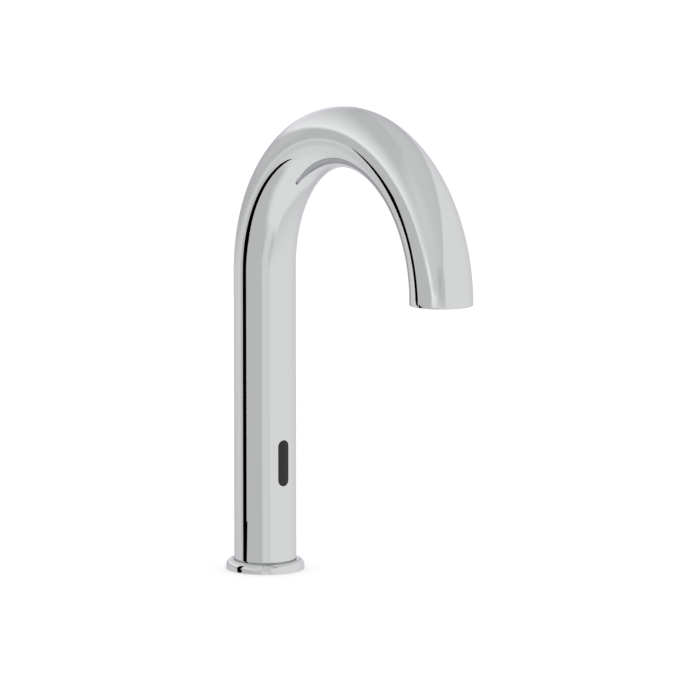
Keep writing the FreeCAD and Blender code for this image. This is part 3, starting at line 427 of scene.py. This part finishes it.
# Base insert. A turned brass plug on which the column's foot is screwed, with the threads for
# two fixing studs and the supply hose, a steel strainer cup, and the socket of the lead.

METAL_CELLS, METAL_CONTRAST, METAL_SPREAD = 140, (0.3, 0.7), 0.15
TOOL_PITCH, TOOL_DEPTH = 0.00025, 0.000004


def waves(along, pitch):
    """Even waves along a length, a pitch apart."""
    return (along * (math.tau / pitch)).math("SINE")


def machined(name, dark, pale, roughness):
    """A metal turned about the column's axis, with the tool's rings and a cloudy film."""
    material, shader, wire = clouded(
        name, dark, pale, roughness, METAL_CELLS, METAL_CONTRAST, METAL_SPREAD, metallic=1)
    flat = wire.node("ShaderNodeVectorMath", {"operation": "MULTIPLY"}, {
        0: own_place(wire), 1: (1, 1, 0)})
    radius = wire.node("ShaderNodeVectorMath", {"operation": "LENGTH"}, {0: flat}, "Value")
    feed(shader, "Normal", relief(waves(radius, TOOL_PITCH), TOOL_DEPTH))
    return material


brass = machined(
    "turned_brass", dark=(0.52, 0.36, 0.16), pale=(0.66, 0.48, 0.23), roughness=0.30)
steel = machined(
    "stainless_steel", dark=(0.48, 0.48, 0.48), pale=(0.60, 0.60, 0.61), roughness=0.26)
black_plastic = moulded(
    "black_nylon", dark=(0.014, 0.014, 0.016), pale=(0.026, 0.026, 0.028), roughness=0.45)
dress(brass, "base_insert")
dress(steel, "inlet_strainer")
dress(black_plastic, "power_connector")

TURN_STEPS = 40
helix, size = geometry_tree("helix", (
    "Bore", "Pitch", "Depth", "Ridge", "Flanks", "Across", "Along", "Level"), ("Flanks",))
spiral = size["Bore"].node("GeometryNodeCurveSpiral", None, {
    "Resolution": TURN_STEPS, "Rotations": size["Depth"] / size["Pitch"],
    "Start Radius": size["Bore"], "End Radius": size["Bore"], "Height": size["Depth"]})
ridge = spiral.node("GeometryNodeCurvePrimitiveCircle", {"mode": "RADIUS"}, {
    "Resolution": size["Flanks"], "Radius": size["Ridge"]})
thread = spiral.node("GeometryNodeCurveToMesh", None, {
    "Curve": spiral, "Profile Curve": ridge, "Fill Caps": True})
centre = thread.vector(X=size["Across"], Y=size["Along"], Z=size["Level"])
thread = thread.node("GeometryNodeTransform", None, {"Geometry": thread, "Translation": centre})
close_tree(thread, size["Finish"])

STUD_OFFSET, STUD_BORE, STUD_DEPTH, STUD_PITCH = 0.0120, 0.0034, 0.0100, 0.00125
HOSE_OFFSET, HOSE_BORE, HOSE_DEPTH, HOSE_PITCH = 0.0090, 0.0045, 0.0080, 0.0010
THREAD_START = 0.0006
RIDGE_SHARE = 0.42
for name, across, along, bore, pitch, depth in (
        ("stud_thread_right", STUD_OFFSET, 0.0, STUD_BORE, STUD_PITCH, STUD_DEPTH),
        ("stud_thread_left", -STUD_OFFSET, 0.0, STUD_BORE, STUD_PITCH, STUD_DEPTH),
        ("hose_thread", 0.0, -HOSE_OFFSET, HOSE_BORE, HOSE_PITCH, HOSE_DEPTH)):
    thread = grown(name, helix, {
        "Bore": bore, "Pitch": pitch, "Depth": depth - THREAD_START,
        "Ridge": pitch * RIDGE_SHARE, "Flanks": 3, "Across": across, "Along": along,
        "Level": THREAD_START}, brass)
    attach(thread, "tap")


# Valve. An acetal block on the insert with a rubber diaphragm, clamped by a glass-filled
# bonnet and four long stainless screws. A brass plug closes its drilled cross passage.

acetal = moulded(
    "white_acetal", dark=(0.66, 0.66, 0.64), pale=(0.74, 0.74, 0.72), roughness=0.38)
glass_nylon = moulded(
    "glass_filled_nylon", dark=(0.15, 0.155, 0.16), pale=(0.20, 0.205, 0.21), roughness=0.5,
    cells=400)
dress(acetal, "valve_block", "diaphragm_disc")
dress(brass, "passage_plug")
dress(black_rubber, "inlet_seal", "diaphragm", "guide_seal")
dress(glass_nylon, "valve_bonnet")
dress(steel, "valve_screws")


# Solenoid. A steel plunger with a red silicone seal in a thin guide tube, under a fixed core
# and a wound steel spring, which the plunger shortens from below. The coil, enamelled copper
# wire on a nylon bobbin, sits in a bent steel frame.

silicone = moulded(
    "red_silicone", dark=(0.30, 0.045, 0.02), pale=(0.38, 0.07, 0.035), roughness=0.55)

COIL_PITCH, COIL_DEPTH = 0.00032, 0.00008
copper, shader, wire = clouded(
    "enamelled_copper", dark=(0.42, 0.13, 0.05), pale=(0.60, 0.24, 0.10), roughness=0.33,
    cells=300, contrast=METAL_CONTRAST, spread=0.1, metallic=1)
feed(shader, "Normal", relief(waves(own_place(wire).axis("Z"), COIL_PITCH), COIL_DEPTH))

low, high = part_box("plunger_spring")
middle = (low + high) / 2
SPRING_WIRE = 0.00025
SPRING_PITCH = 0.0024
SPRING_SHARP = 50
closing_spring = grown("closing_spring", helix, {
    "Bore": middle.x - low.x - SPRING_WIRE, "Pitch": SPRING_PITCH,
    "Depth": high.z - low.z - SPRING_WIRE * 2, "Ridge": SPRING_WIRE, "Flanks": 10,
    "Across": middle.x, "Along": middle.y, "Level": low.z + SPRING_WIRE}, steel)
soften(closing_spring.data, SPRING_SHARP)
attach(closing_spring, "tap")
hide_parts("plunger_spring")
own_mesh(closing_spring)

dress(steel, "guide_tube", "plunger", "fixed_core", "coil_frame", "coil_nut")
dress(silicone, "pilot_seal")
dress(black_plastic, "coil_bobbin")
dress(copper, "coil_winding")


# Water tube. A milky polyethylene tube from the valve to the outlet, threaded through the
# neck, with a brass nut at each end.

polyethylene = moulded(
    "milky_polyethylene", dark=(0.70, 0.71, 0.71), pale=(0.78, 0.79, 0.79), roughness=0.3,
    cells=60)
dress(polyethylene, "spout_tube")
dress(brass, "lower_tube_nut", "upper_tube_nut")


# Sensor window. A plug of dark infrared-clear acrylic, moulded with a soft edge and curved
# like the column. It stands in the slot on a flange that bears on the column's bore.

low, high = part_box("sensor_window")
FACE_RADIUS = -low.y
FLANGE_BACK = high.y
FLANGE_SIDE = high.x
SLOT_PLAY = 0.00005
PLUG_SIDE = WINDOW_WIDTH / 2 - SLOT_PLAY
PLUG_STRAIGHT = (WINDOW_HEIGHT - WINDOW_WIDTH) / 2
PLUG_EDGE, EDGE_STEPS = 0.00035, 4
TUBE_BORE = TUBE_RADIUS - TUBE_WALL
FACE_SHARES = (0.75, 0.5, 0.25, 0.01)
WINDOW_SHARP = 40


def window_loop(side, radius, sink=0.0):
    """A round-ended loop of half width side, laid on an upright cylinder of this radius."""
    turns = [math.pi * step / ROUND_STEPS for step in range(ROUND_STEPS + 1)]
    loop = [(side * math.cos(turn), PLUG_STRAIGHT + side * math.sin(turn)) for turn in turns]
    loop += [(-x, -z) for x, z in loop]
    return [(x, sink - math.sqrt(radius ** 2 - x ** 2), WINDOW_LEVEL + z) for x, z in loop]


loops = [[(x, FLANGE_BACK, z) for x, y, z in window_loop(FLANGE_SIDE, TUBE_BORE)],
         window_loop(FLANGE_SIDE, TUBE_BORE), window_loop(PLUG_SIDE, TUBE_BORE)]
for step in range(EDGE_STEPS + 1):
    turn = math.radians(90 * step / EDGE_STEPS)
    loops.append(window_loop(PLUG_SIDE - PLUG_EDGE * (1 - math.cos(turn)), FACE_RADIUS,
                             PLUG_EDGE * (1 - math.sin(turn))))
for share in FACE_SHARES:
    loops.append(window_loop((PLUG_SIDE - PLUG_EDGE) * share, FACE_RADIUS))
count = len(loops[0])
faces = [(row * count + spot, row * count + (spot + 1) % count,
          (row + 1) * count + (spot + 1) % count, (row + 1) * count + spot)
         for row in range(len(loops) - 1) for spot in range(count)]
faces.append(tuple(reversed(range(count))))
faces.append(tuple(range((len(loops) - 1) * count, len(loops) * count)))

WINDOW_IOR = 1.41
HAZE_CELLS, HAZE_DEPTH = 700, 0.000001
WINDOW_ROUGHNESS, WINDOW_SPREAD = 0.06, 0.05
smoked_acrylic, shader, wire = finish_of("smoked_acrylic", {"IOR": WINDOW_IOR})
haze = noise(wire, HAZE_CELLS, detail=2)
feed(shader, "Base Color", blend_colour(
    haze, dark=(0.002, 0.002, 0.0022), pale=(0.006, 0.006, 0.0065)))
feed(shader, "Roughness", WINDOW_ROUGHNESS + WINDOW_SPREAD * haze)
feed(shader, "Normal", relief(haze, HAZE_DEPTH))

window_lens = meshed(
    "window_lens", [corner for loop in loops for corner in loop], faces, smoked_acrylic)
soften(window_lens.data, WINDOW_SHARP)
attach(window_lens, "tap")
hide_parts("sensor_window")


# Sensor. A moulded box behind the window with an infrared emitter and receiver on a lacquered
# board, a cover, and a wedge that presses it forward against its rubber gasket.

LACQUER_ROUGHNESS, LACQUER_SPREAD, LACQUER_CELLS = 0.25, 0.1, 500
TRACK_DEPTH = 0.00002
lacquered_board, shader, wire = finish_of("lacquered_board")
tracks = wire.node("ShaderNodeTexBrick", None, {
    "Vector": own_place(wire), "Scale": 420.0, "Mortar Size": 0.035,
    "Color1": (0, 0, 0, 1), "Color2": (0, 0, 0, 1), "Mortar": (1, 1, 1, 1)})
feed(shader, "Base Color", blend_colour(
    tracks, dark=(0.006, 0.06, 0.02), pale=(0.03, 0.16, 0.06)))
gloss = noise(wire, LACQUER_CELLS, detail=2)
feed(shader, "Roughness", LACQUER_ROUGHNESS + LACQUER_SPREAD * gloss)
feed(shader, "Normal", relief(tracks, TRACK_DEPTH))
tinted_epoxy = moulded(
    "tinted_epoxy", dark=(0.06, 0.05, 0.11), pale=(0.09, 0.08, 0.15), roughness=0.12, cells=300)
grey_plastic = moulded(
    "grey_acetal", dark=(0.17, 0.175, 0.18), pale=(0.21, 0.215, 0.22), roughness=0.42)

dress(black_rubber, "window_gasket")
dress(black_plastic, "sensor_housing", "sensor_cover")
dress(lacquered_board, "sensor_board")
dress(tinted_epoxy, "infrared_emitter", "infrared_receiver")
dress(grey_plastic, "sensor_wedge")


# Leads. Two leads in black sheaths, one from the socket in the base to the sensor board and
# one from the board to the coil.

sheath = moulded(
    "lead_sheath", dark=(0.013, 0.013, 0.013), pale=(0.02, 0.02, 0.02), roughness=0.5,
    cells=200, grain=1200)
dress(sheath, "power_lead", "valve_lead")


# Outlet. A brass sleeve seals in the mouth and holds the aerator: a shell with key slots, a
# flow disc, a drilled disc, a steel screen and, at the lip, a moulded honeycomb grid.

low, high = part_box("outlet_grid")
GRID_RADIUS = (high.x - low.x) / 2
GRID_LEVEL = low.z
GRID_HEIGHT = high.z - low.z
CELL_PITCH, CELL_CORNER, CELL_RINGS, CELL_FLARE = 0.00275, 0.00134, 3, 0.00012
ROW_PITCH = math.sqrt(0.75)         # in cell pitches

tree, size = geometry_tree("honeycomb_grid", (
    "Radius", "Height", "Pitch", "Corner", "Flare", "Rings", "Reach", "Level"), ("Rings",))
rows = size["Rings"] * 2 + 1
number = size["Rings"].node("GeometryNodeInputIndex")
row = (number / rows).math("FLOOR")
spot = number - row * rows - size["Rings"]
row = row - size["Rings"]
place = number.vector(
    X=(spot + row * 0.5) * size["Pitch"], Y=row * size["Pitch"] * ROW_PITCH)
points = number.node("GeometryNodePoints", None, {"Count": rows * rows, "Position": place})
outside = abs(spot + row) > size["Rings"] + 0.5
points = points.node("GeometryNodeDeleteGeometry", {"domain": "POINT"}, {
    "Geometry": points, "Selection": outside})
cell = points.node("GeometryNodeMeshCylinder", None, {
    "Vertices": 6, "Radius": size["Corner"], "Depth": size["Height"] * 2}, "Mesh")
flare = points.node("GeometryNodeMeshCone", None, {
    "Vertices": 6, "Radius Top": size["Corner"], "Radius Bottom": size["Corner"] + size["Flare"],
    "Depth": size["Flare"] * 2}, "Mesh")
disc = points.node("GeometryNodeMeshCylinder", None, {
    "Vertices": 96, "Radius": size["Radius"], "Depth": size["Height"]}, "Mesh")
to_face = points.vector(Z=size["Height"] * -0.5 - size["Flare"] * 0.5)
turned_corner = (0, 0, math.radians(30))
for cutter, shift in ((cell, (0, 0, 0)), (flare, to_face)):
    cutter = cutter.node("GeometryNodeTransform", None, {
        "Geometry": cutter, "Translation": shift, "Rotation": turned_corner})
    cutters = points.node("GeometryNodeInstanceOnPoints", None, {
        "Points": points, "Instance": cutter})
    cutters = points.node("GeometryNodeRealizeInstances", None, {0: cutters})
    disc = disc.node("GeometryNodeMeshBoolean", {"operation": "DIFFERENCE", "solver": "EXACT"}, {
        "Mesh 1": disc, "Mesh 2": cutters})
to_mouth = points.vector(Y=0 - size["Reach"], Z=size["Level"] + size["Height"] * 0.5)
disc = disc.node("GeometryNodeTransform", None, {"Geometry": disc, "Translation": to_mouth})
close_tree(disc, size["Finish"])

outlet_honeycomb = grown("outlet_honeycomb", tree, {
    "Radius": GRID_RADIUS, "Height": GRID_HEIGHT, "Pitch": CELL_PITCH, "Corner": CELL_CORNER,
    "Flare": CELL_FLARE, "Rings": CELL_RINGS, "Reach": REACH, "Level": GRID_LEVEL}, grey_plastic)
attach(outlet_honeycomb, "tap")
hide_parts("outlet_grid")

dress(brass, "aerator_carrier")
dress(grey_plastic, "aerator_housing")
dress(black_rubber, "carrier_seal", "aerator_seal")
dress(acetal, "flow_regulator", "aerator_diffuser")
dress(steel, "aerator_screen")


# Floor, studio and camera. A white floor with a soft shadow in a white studio: a tall pale
# wall on the right, and a long glowing reflector, a grey panel and a black strip on the left.
# Two black cards by the tap, which only its polished surfaces show, draw its thin dark lines.

CAMERA_TURN = math.radians(36.2)
CAMERA_AWAY = 4.66081
CAMERA_RISE = 0.87358
LOOK_TURN = math.radians(36.868)
LOOK_DOWN = math.radians(8.92616)
FOCAL_PIXELS = 7382.845
FRAME_PIXELS = 700
SENSOR = 36
VIEW_DEPTH = 50

camera_data = bpy.data.cameras.new("camera")
camera_data.sensor_width = SENSOR
camera_data.lens = FOCAL_PIXELS * SENSOR / FRAME_PIXELS
camera_data.clip_end = VIEW_DEPTH
camera = placed("camera", camera_data)
camera.location = (-CAMERA_AWAY * math.sin(CAMERA_TURN), -CAMERA_AWAY * math.cos(CAMERA_TURN),
                   CAMERA_RISE)
camera.rotation_euler = (math.pi / 2 - LOOK_DOWN, 0, -LOOK_TURN)
bpy.context.scene.camera = camera

bpy.context.scene.view_settings.view_transform = "Standard"

# The world is painted by direction: azimuth to the right of the camera and height, in degrees.
# A tone is a brightness, 1 being white. An edge is soft, from its first value to its second.
world = bpy.data.worlds.new("studio")
bpy.context.scene.world = world
world.use_nodes = True
background = world.node_tree.nodes["Background"]
wire = Wire(world.node_tree)
towards = Vector((-math.sin(CAMERA_TURN), -math.cos(CAMERA_TURN), 0))
rightward = Vector((math.cos(CAMERA_TURN), -math.sin(CAMERA_TURN), 0))
direction = wire.node("ShaderNodeTexCoord", output="Generated")
ahead, aside = (direction.node("ShaderNodeVectorMath", {"operation": "DOT_PRODUCT"}, {
    0: direction, 1: way}, "Value") for way in (towards, rightward))
up = direction.axis("Z")
azimuth = aside.math("ARCTAN2", ahead) * math.degrees(1)
height = up.math("ARCSINE") * math.degrees(1)


def patch(turn, level, wide, tall, core, rim, tilt=0):
    """1 in the core of a soft oval of the studio, 0 past its rim; wide and tall are radii."""
    beside, above = azimuth - turn, height - level
    slant = math.radians(tilt)
    along = (beside * math.cos(slant) + above * math.sin(slant)) / wide
    thick = (above * math.cos(slant) - beside * math.sin(slant)) / tall
    return ((along * along + thick * thick) ** 0.5).fade(core, rim)


def over(under, tone, mask):
    return under + (tone - under) * mask


EYE_EDGE = (-8, -4)
below_eye = height.fade(*EYE_EDGE)
above_eye = 1 - below_eye

# Ceiling, a little brighter overhead, and the duller wall high on the left.
CEILING_TONE, OVERHEAD_GAIN, HIGH_WALL_TONE = 0.95, 0.09, 0.87
overhead = patch(turn=-30, level=35, wide=48, tall=60, core=0.1, rim=1)
light = CEILING_TONE + OVERHEAD_GAIN * overhead
high_wall = patch(turn=-110, level=68, wide=75, tall=16, core=0.5, rim=1.3)
light = over(light, HIGH_WALL_TONE, high_wall)

# Long glowing reflector on the left, brightest along its lower edge, and its hot corner.
GLOW_TURN, GLOW_LEVEL, REFLECTOR_END = math.radians(-105), 22, (-75, -25)
GLOW_TONE, GLOW_FALL, LEAST_GLOW, MOST_GLOW = 1.41, 0.0145, 0.87, 1.42
rise = up.math("ARCTAN2", ahead * math.cos(GLOW_TURN) + aside * math.sin(GLOW_TURN))
glow = GLOW_TONE - GLOW_FALL * (rise * math.degrees(1) - GLOW_LEVEL)
glow = glow.at_least(LEAST_GLOW).at_most(MOST_GLOW)
light = over(light, glow, azimuth.fade(*REFLECTOR_END))
CORNER_GAIN = 0.36
corner = patch(turn=-37, level=2.5, wide=19, tall=8, core=0, rim=1, tilt=-37)
light = light + CORNER_GAIN * corner

# Grey panel under the reflector, its right end cut off on a slant but for a step at its foot.
PANEL_TONE, PANEL_END = 0.84, (-13, -8)
PANEL_SLOPE, PANEL_TOP = 0.306, (-0.052, 0.078)
CUT_TURN, CUT_LEVEL, CUT_SLOPE, CUT_EDGE = -58, 9.5, 0.607, (-3, 4.5)
STEP_FOOT, STEP_TOP = (-16, -11), (-8.4, -8.1)
panel = (up + PANEL_SLOPE * aside).fade(*PANEL_TOP)
cut_off = (height - CUT_LEVEL + CUT_SLOPE * (azimuth - CUT_TURN)).smooth(*CUT_EDGE)
panel = panel * (1 - cut_off * (1 - height.between(STEP_FOOT, STEP_TOP)))
light = over(light, PANEL_TONE, panel * azimuth.fade(*PANEL_END))

# Paler wall beyond the panel, the dimmer band across it, and the panel's far end.
PALE_TONE, PALE_TOP = 1.12, (-9, -3)
PALE_SLOPE, PALE_LEVEL, PALE_EDGE = 0.4, -10, (-106, -95)
BAND_TONE, BAND_FOOT, BAND_TOP, BAND_END = 0.98, (-26, -16), (-13, -7), (-104, -97)
FAR_TONE, FAR_FOOT, FAR_END = 0.92, (-2, 6), (-125, -110)
paler = (azimuth + PALE_SLOPE * (height - PALE_LEVEL)).fade(*PALE_EDGE)
light = over(light, PALE_TONE, paler * height.fade(*PALE_TOP))
light = over(light, BAND_TONE, height.between(BAND_FOOT, BAND_TOP) * azimuth.fade(*BAND_END))
light = over(light, FAR_TONE, panel * height.smooth(*FAR_FOOT) * azimuth.fade(*FAR_END))

# Glow at the reflector's lower end.
LOW_GAIN, LOW_LEFT, LOW_RIGHT = 0.3, (-40, -33), (-24, -6)
LOW_FOOT, LOW_TOP = (-8.0, -7.5), (-4.5, 0.5)
low_glow = azimuth.between(LOW_LEFT, LOW_RIGHT) * height.between(LOW_FOOT, LOW_TOP)
light = light + LOW_GAIN * low_glow

# Gap between panel and wall, and the white table below, which dips on the left.
GAP_TONE, GAP_LEFT, GAP_RIGHT = 1.08, (-14, -6), (8, 16)
TABLE_TONE, TABLE_EDGE = 1.23, (-49, -31)
DIP_TURN, DIP_WIDTH, DIP_DEPTH = -62, 45, 7
light = over(light, GAP_TONE, azimuth.between(GAP_LEFT, GAP_RIGHT) * below_eye)
from_dip = (azimuth - DIP_TURN) / DIP_WIDTH
dip = (from_dip * from_dip).fade(0, 1)
light = over(light, TABLE_TONE, (height + dip * DIP_DEPTH).fade(*TABLE_EDGE))

# Wall on the right, with a shade before it, a dull rim over it, a dark slit beside it and a
# hot spot at the back. Steep is how far a direction rises for its way to the right.
SHADE_TONE, RIM_TONE, RIM_TOP, LEAST_ASIDE = 0.80, 0.90, (1.3, 2.2), 0.02
SLIT_TONE, SLIT_LEFT, SLIT_RIGHT, SLIT_FOOT = 0.92, (12, 19), (19, 26), (-50, -35)
WALL_TONE, WALL_TOP, WALL_FOOT, WALL_EDGE = 1.18, (1.05, 1.3), (-3.2, -1.9), (11, 17)
WALL_LEAN, LEAN_LEVEL, FOOT_SHADE, FOOT_EDGE = 0.5, -8, 0.15, (-1.8, -0.1)
BACK_GAIN = 0.12
shade = patch(turn=3, level=4, wide=21, tall=12, core=0.3, rim=1)
light = over(light, SHADE_TONE, shade * above_eye)
steep = up / aside.at_least(LEAST_ASIDE)
light = over(light, RIM_TONE, steep.fade(*RIM_TOP) * (aside > 0) * above_eye)
slit = azimuth.between(SLIT_LEFT, SLIT_RIGHT) * below_eye * height.smooth(*SLIT_FOOT)
light = over(light, SLIT_TONE, slit)
left_edge = azimuth + (height - LEAN_LEVEL).at_most(0) * WALL_LEAN
wall = steep.fade(*WALL_TOP) * left_edge.smooth(*WALL_EDGE) * steep.smooth(*WALL_FOOT)
light = over(light, WALL_TONE - FOOT_SHADE * steep.fade(*FOOT_EDGE), wall)
light = light + BACK_GAIN * patch(turn=168, level=-6, wide=16, tall=14, core=0.2, rim=1)

# Black strip on the left, sharp on all sides, its left edge and its foot on a slant.
STRIP_LEFT, STRIP_RIGHT, STRIP_TOP, STRIP_LEAN = -87.2, -72.8, -7.95, 0.33
FOOT_TURN, STRIP_FOOT, FOOT_SLOPE = -74, -15, 0.75
strip = (azimuth > STRIP_LEAN * height + STRIP_LEFT) * (azimuth < STRIP_RIGHT)
strip = strip * (height < STRIP_TOP)
strip = strip * (height > FOOT_SLOPE * (azimuth - FOOT_TURN) + STRIP_FOOT)
light = light * (1 - strip)

# The camera itself sees plain white behind the tap.
BACKDROP_TONE = 1.0
seen = wire.node("ShaderNodeLightPath", output="Is Camera Ray")
light = over(light, BACKDROP_TONE, seen)
world.node_tree.links.new(light.socket, background.inputs["Strength"])
background.inputs["Color"].default_value = (1, 1, 1, 1)

# The floor that the camera sees. Polished surfaces show the studio's white table instead.
FLOOR_SIZE = 8.0
floor_paint, shader, wire = finish_of("floor_paint", {
    "Base Color": (0.8, 0.8, 0.8, 1), "Roughness": 0.9, "Emission Strength": 0.28})
feed(shader, "Emission Color", wire.node("ShaderNodeLightPath", output="Is Camera Ray"))
half = FLOOR_SIZE / 2
floor = meshed("floor", [(-half, -half, 0), (half, -half, 0), (half, half, 0), (-half, half, 0)],
               [(0, 1, 2, 3)], floor_paint)
floor.visible_glossy = False

# The low card leans in beside the base ring, and the high one stands upright beside the bend.
# An outline is (shift, level) on a plane this far away from the column, at this turn from the
# camera, and lean is how much nearer it comes as it rises.
LOW_CARD = ((0.0068, -0.006), (0.0166, -0.006), (0.0182, 0.010), (0.0188, 0.028),
            (0.0085, 0.028))
HIGH_CARD = ((0.122, 0.179), (0.145, 0.179), (0.144, 0.185), (0.112, 0.254), (0.066, 0.280),
             (0.078, 0.233), (0.112, 0.181))
black_cloth = finish_of("black_cloth", {
    "Base Color": (0, 0, 0, 1), "Specular IOR Level": 0})[0]
for name, turn, away, lean, outline in (
        ("low_flag", -78.8, 0.0505, -0.244, LOW_CARD),
        ("high_flag", -70, 0.060, 0, HIGH_CARD)):
    turn = math.radians(turn)
    facing = towards * math.cos(turn) + rightward * math.sin(turn)
    sideways = rightward * math.cos(turn) - towards * math.sin(turn)
    corners = [facing * (away + lean * level) + sideways * shift + Vector((0, 0, level))
               for shift, level in outline]
    flag = meshed(name, corners, [tuple(range(len(outline)))], black_cloth)
    flag.visible_camera = False
    flag.visible_diffuse = False
    flag.visible_shadow = False
    flag.visible_transmission = False
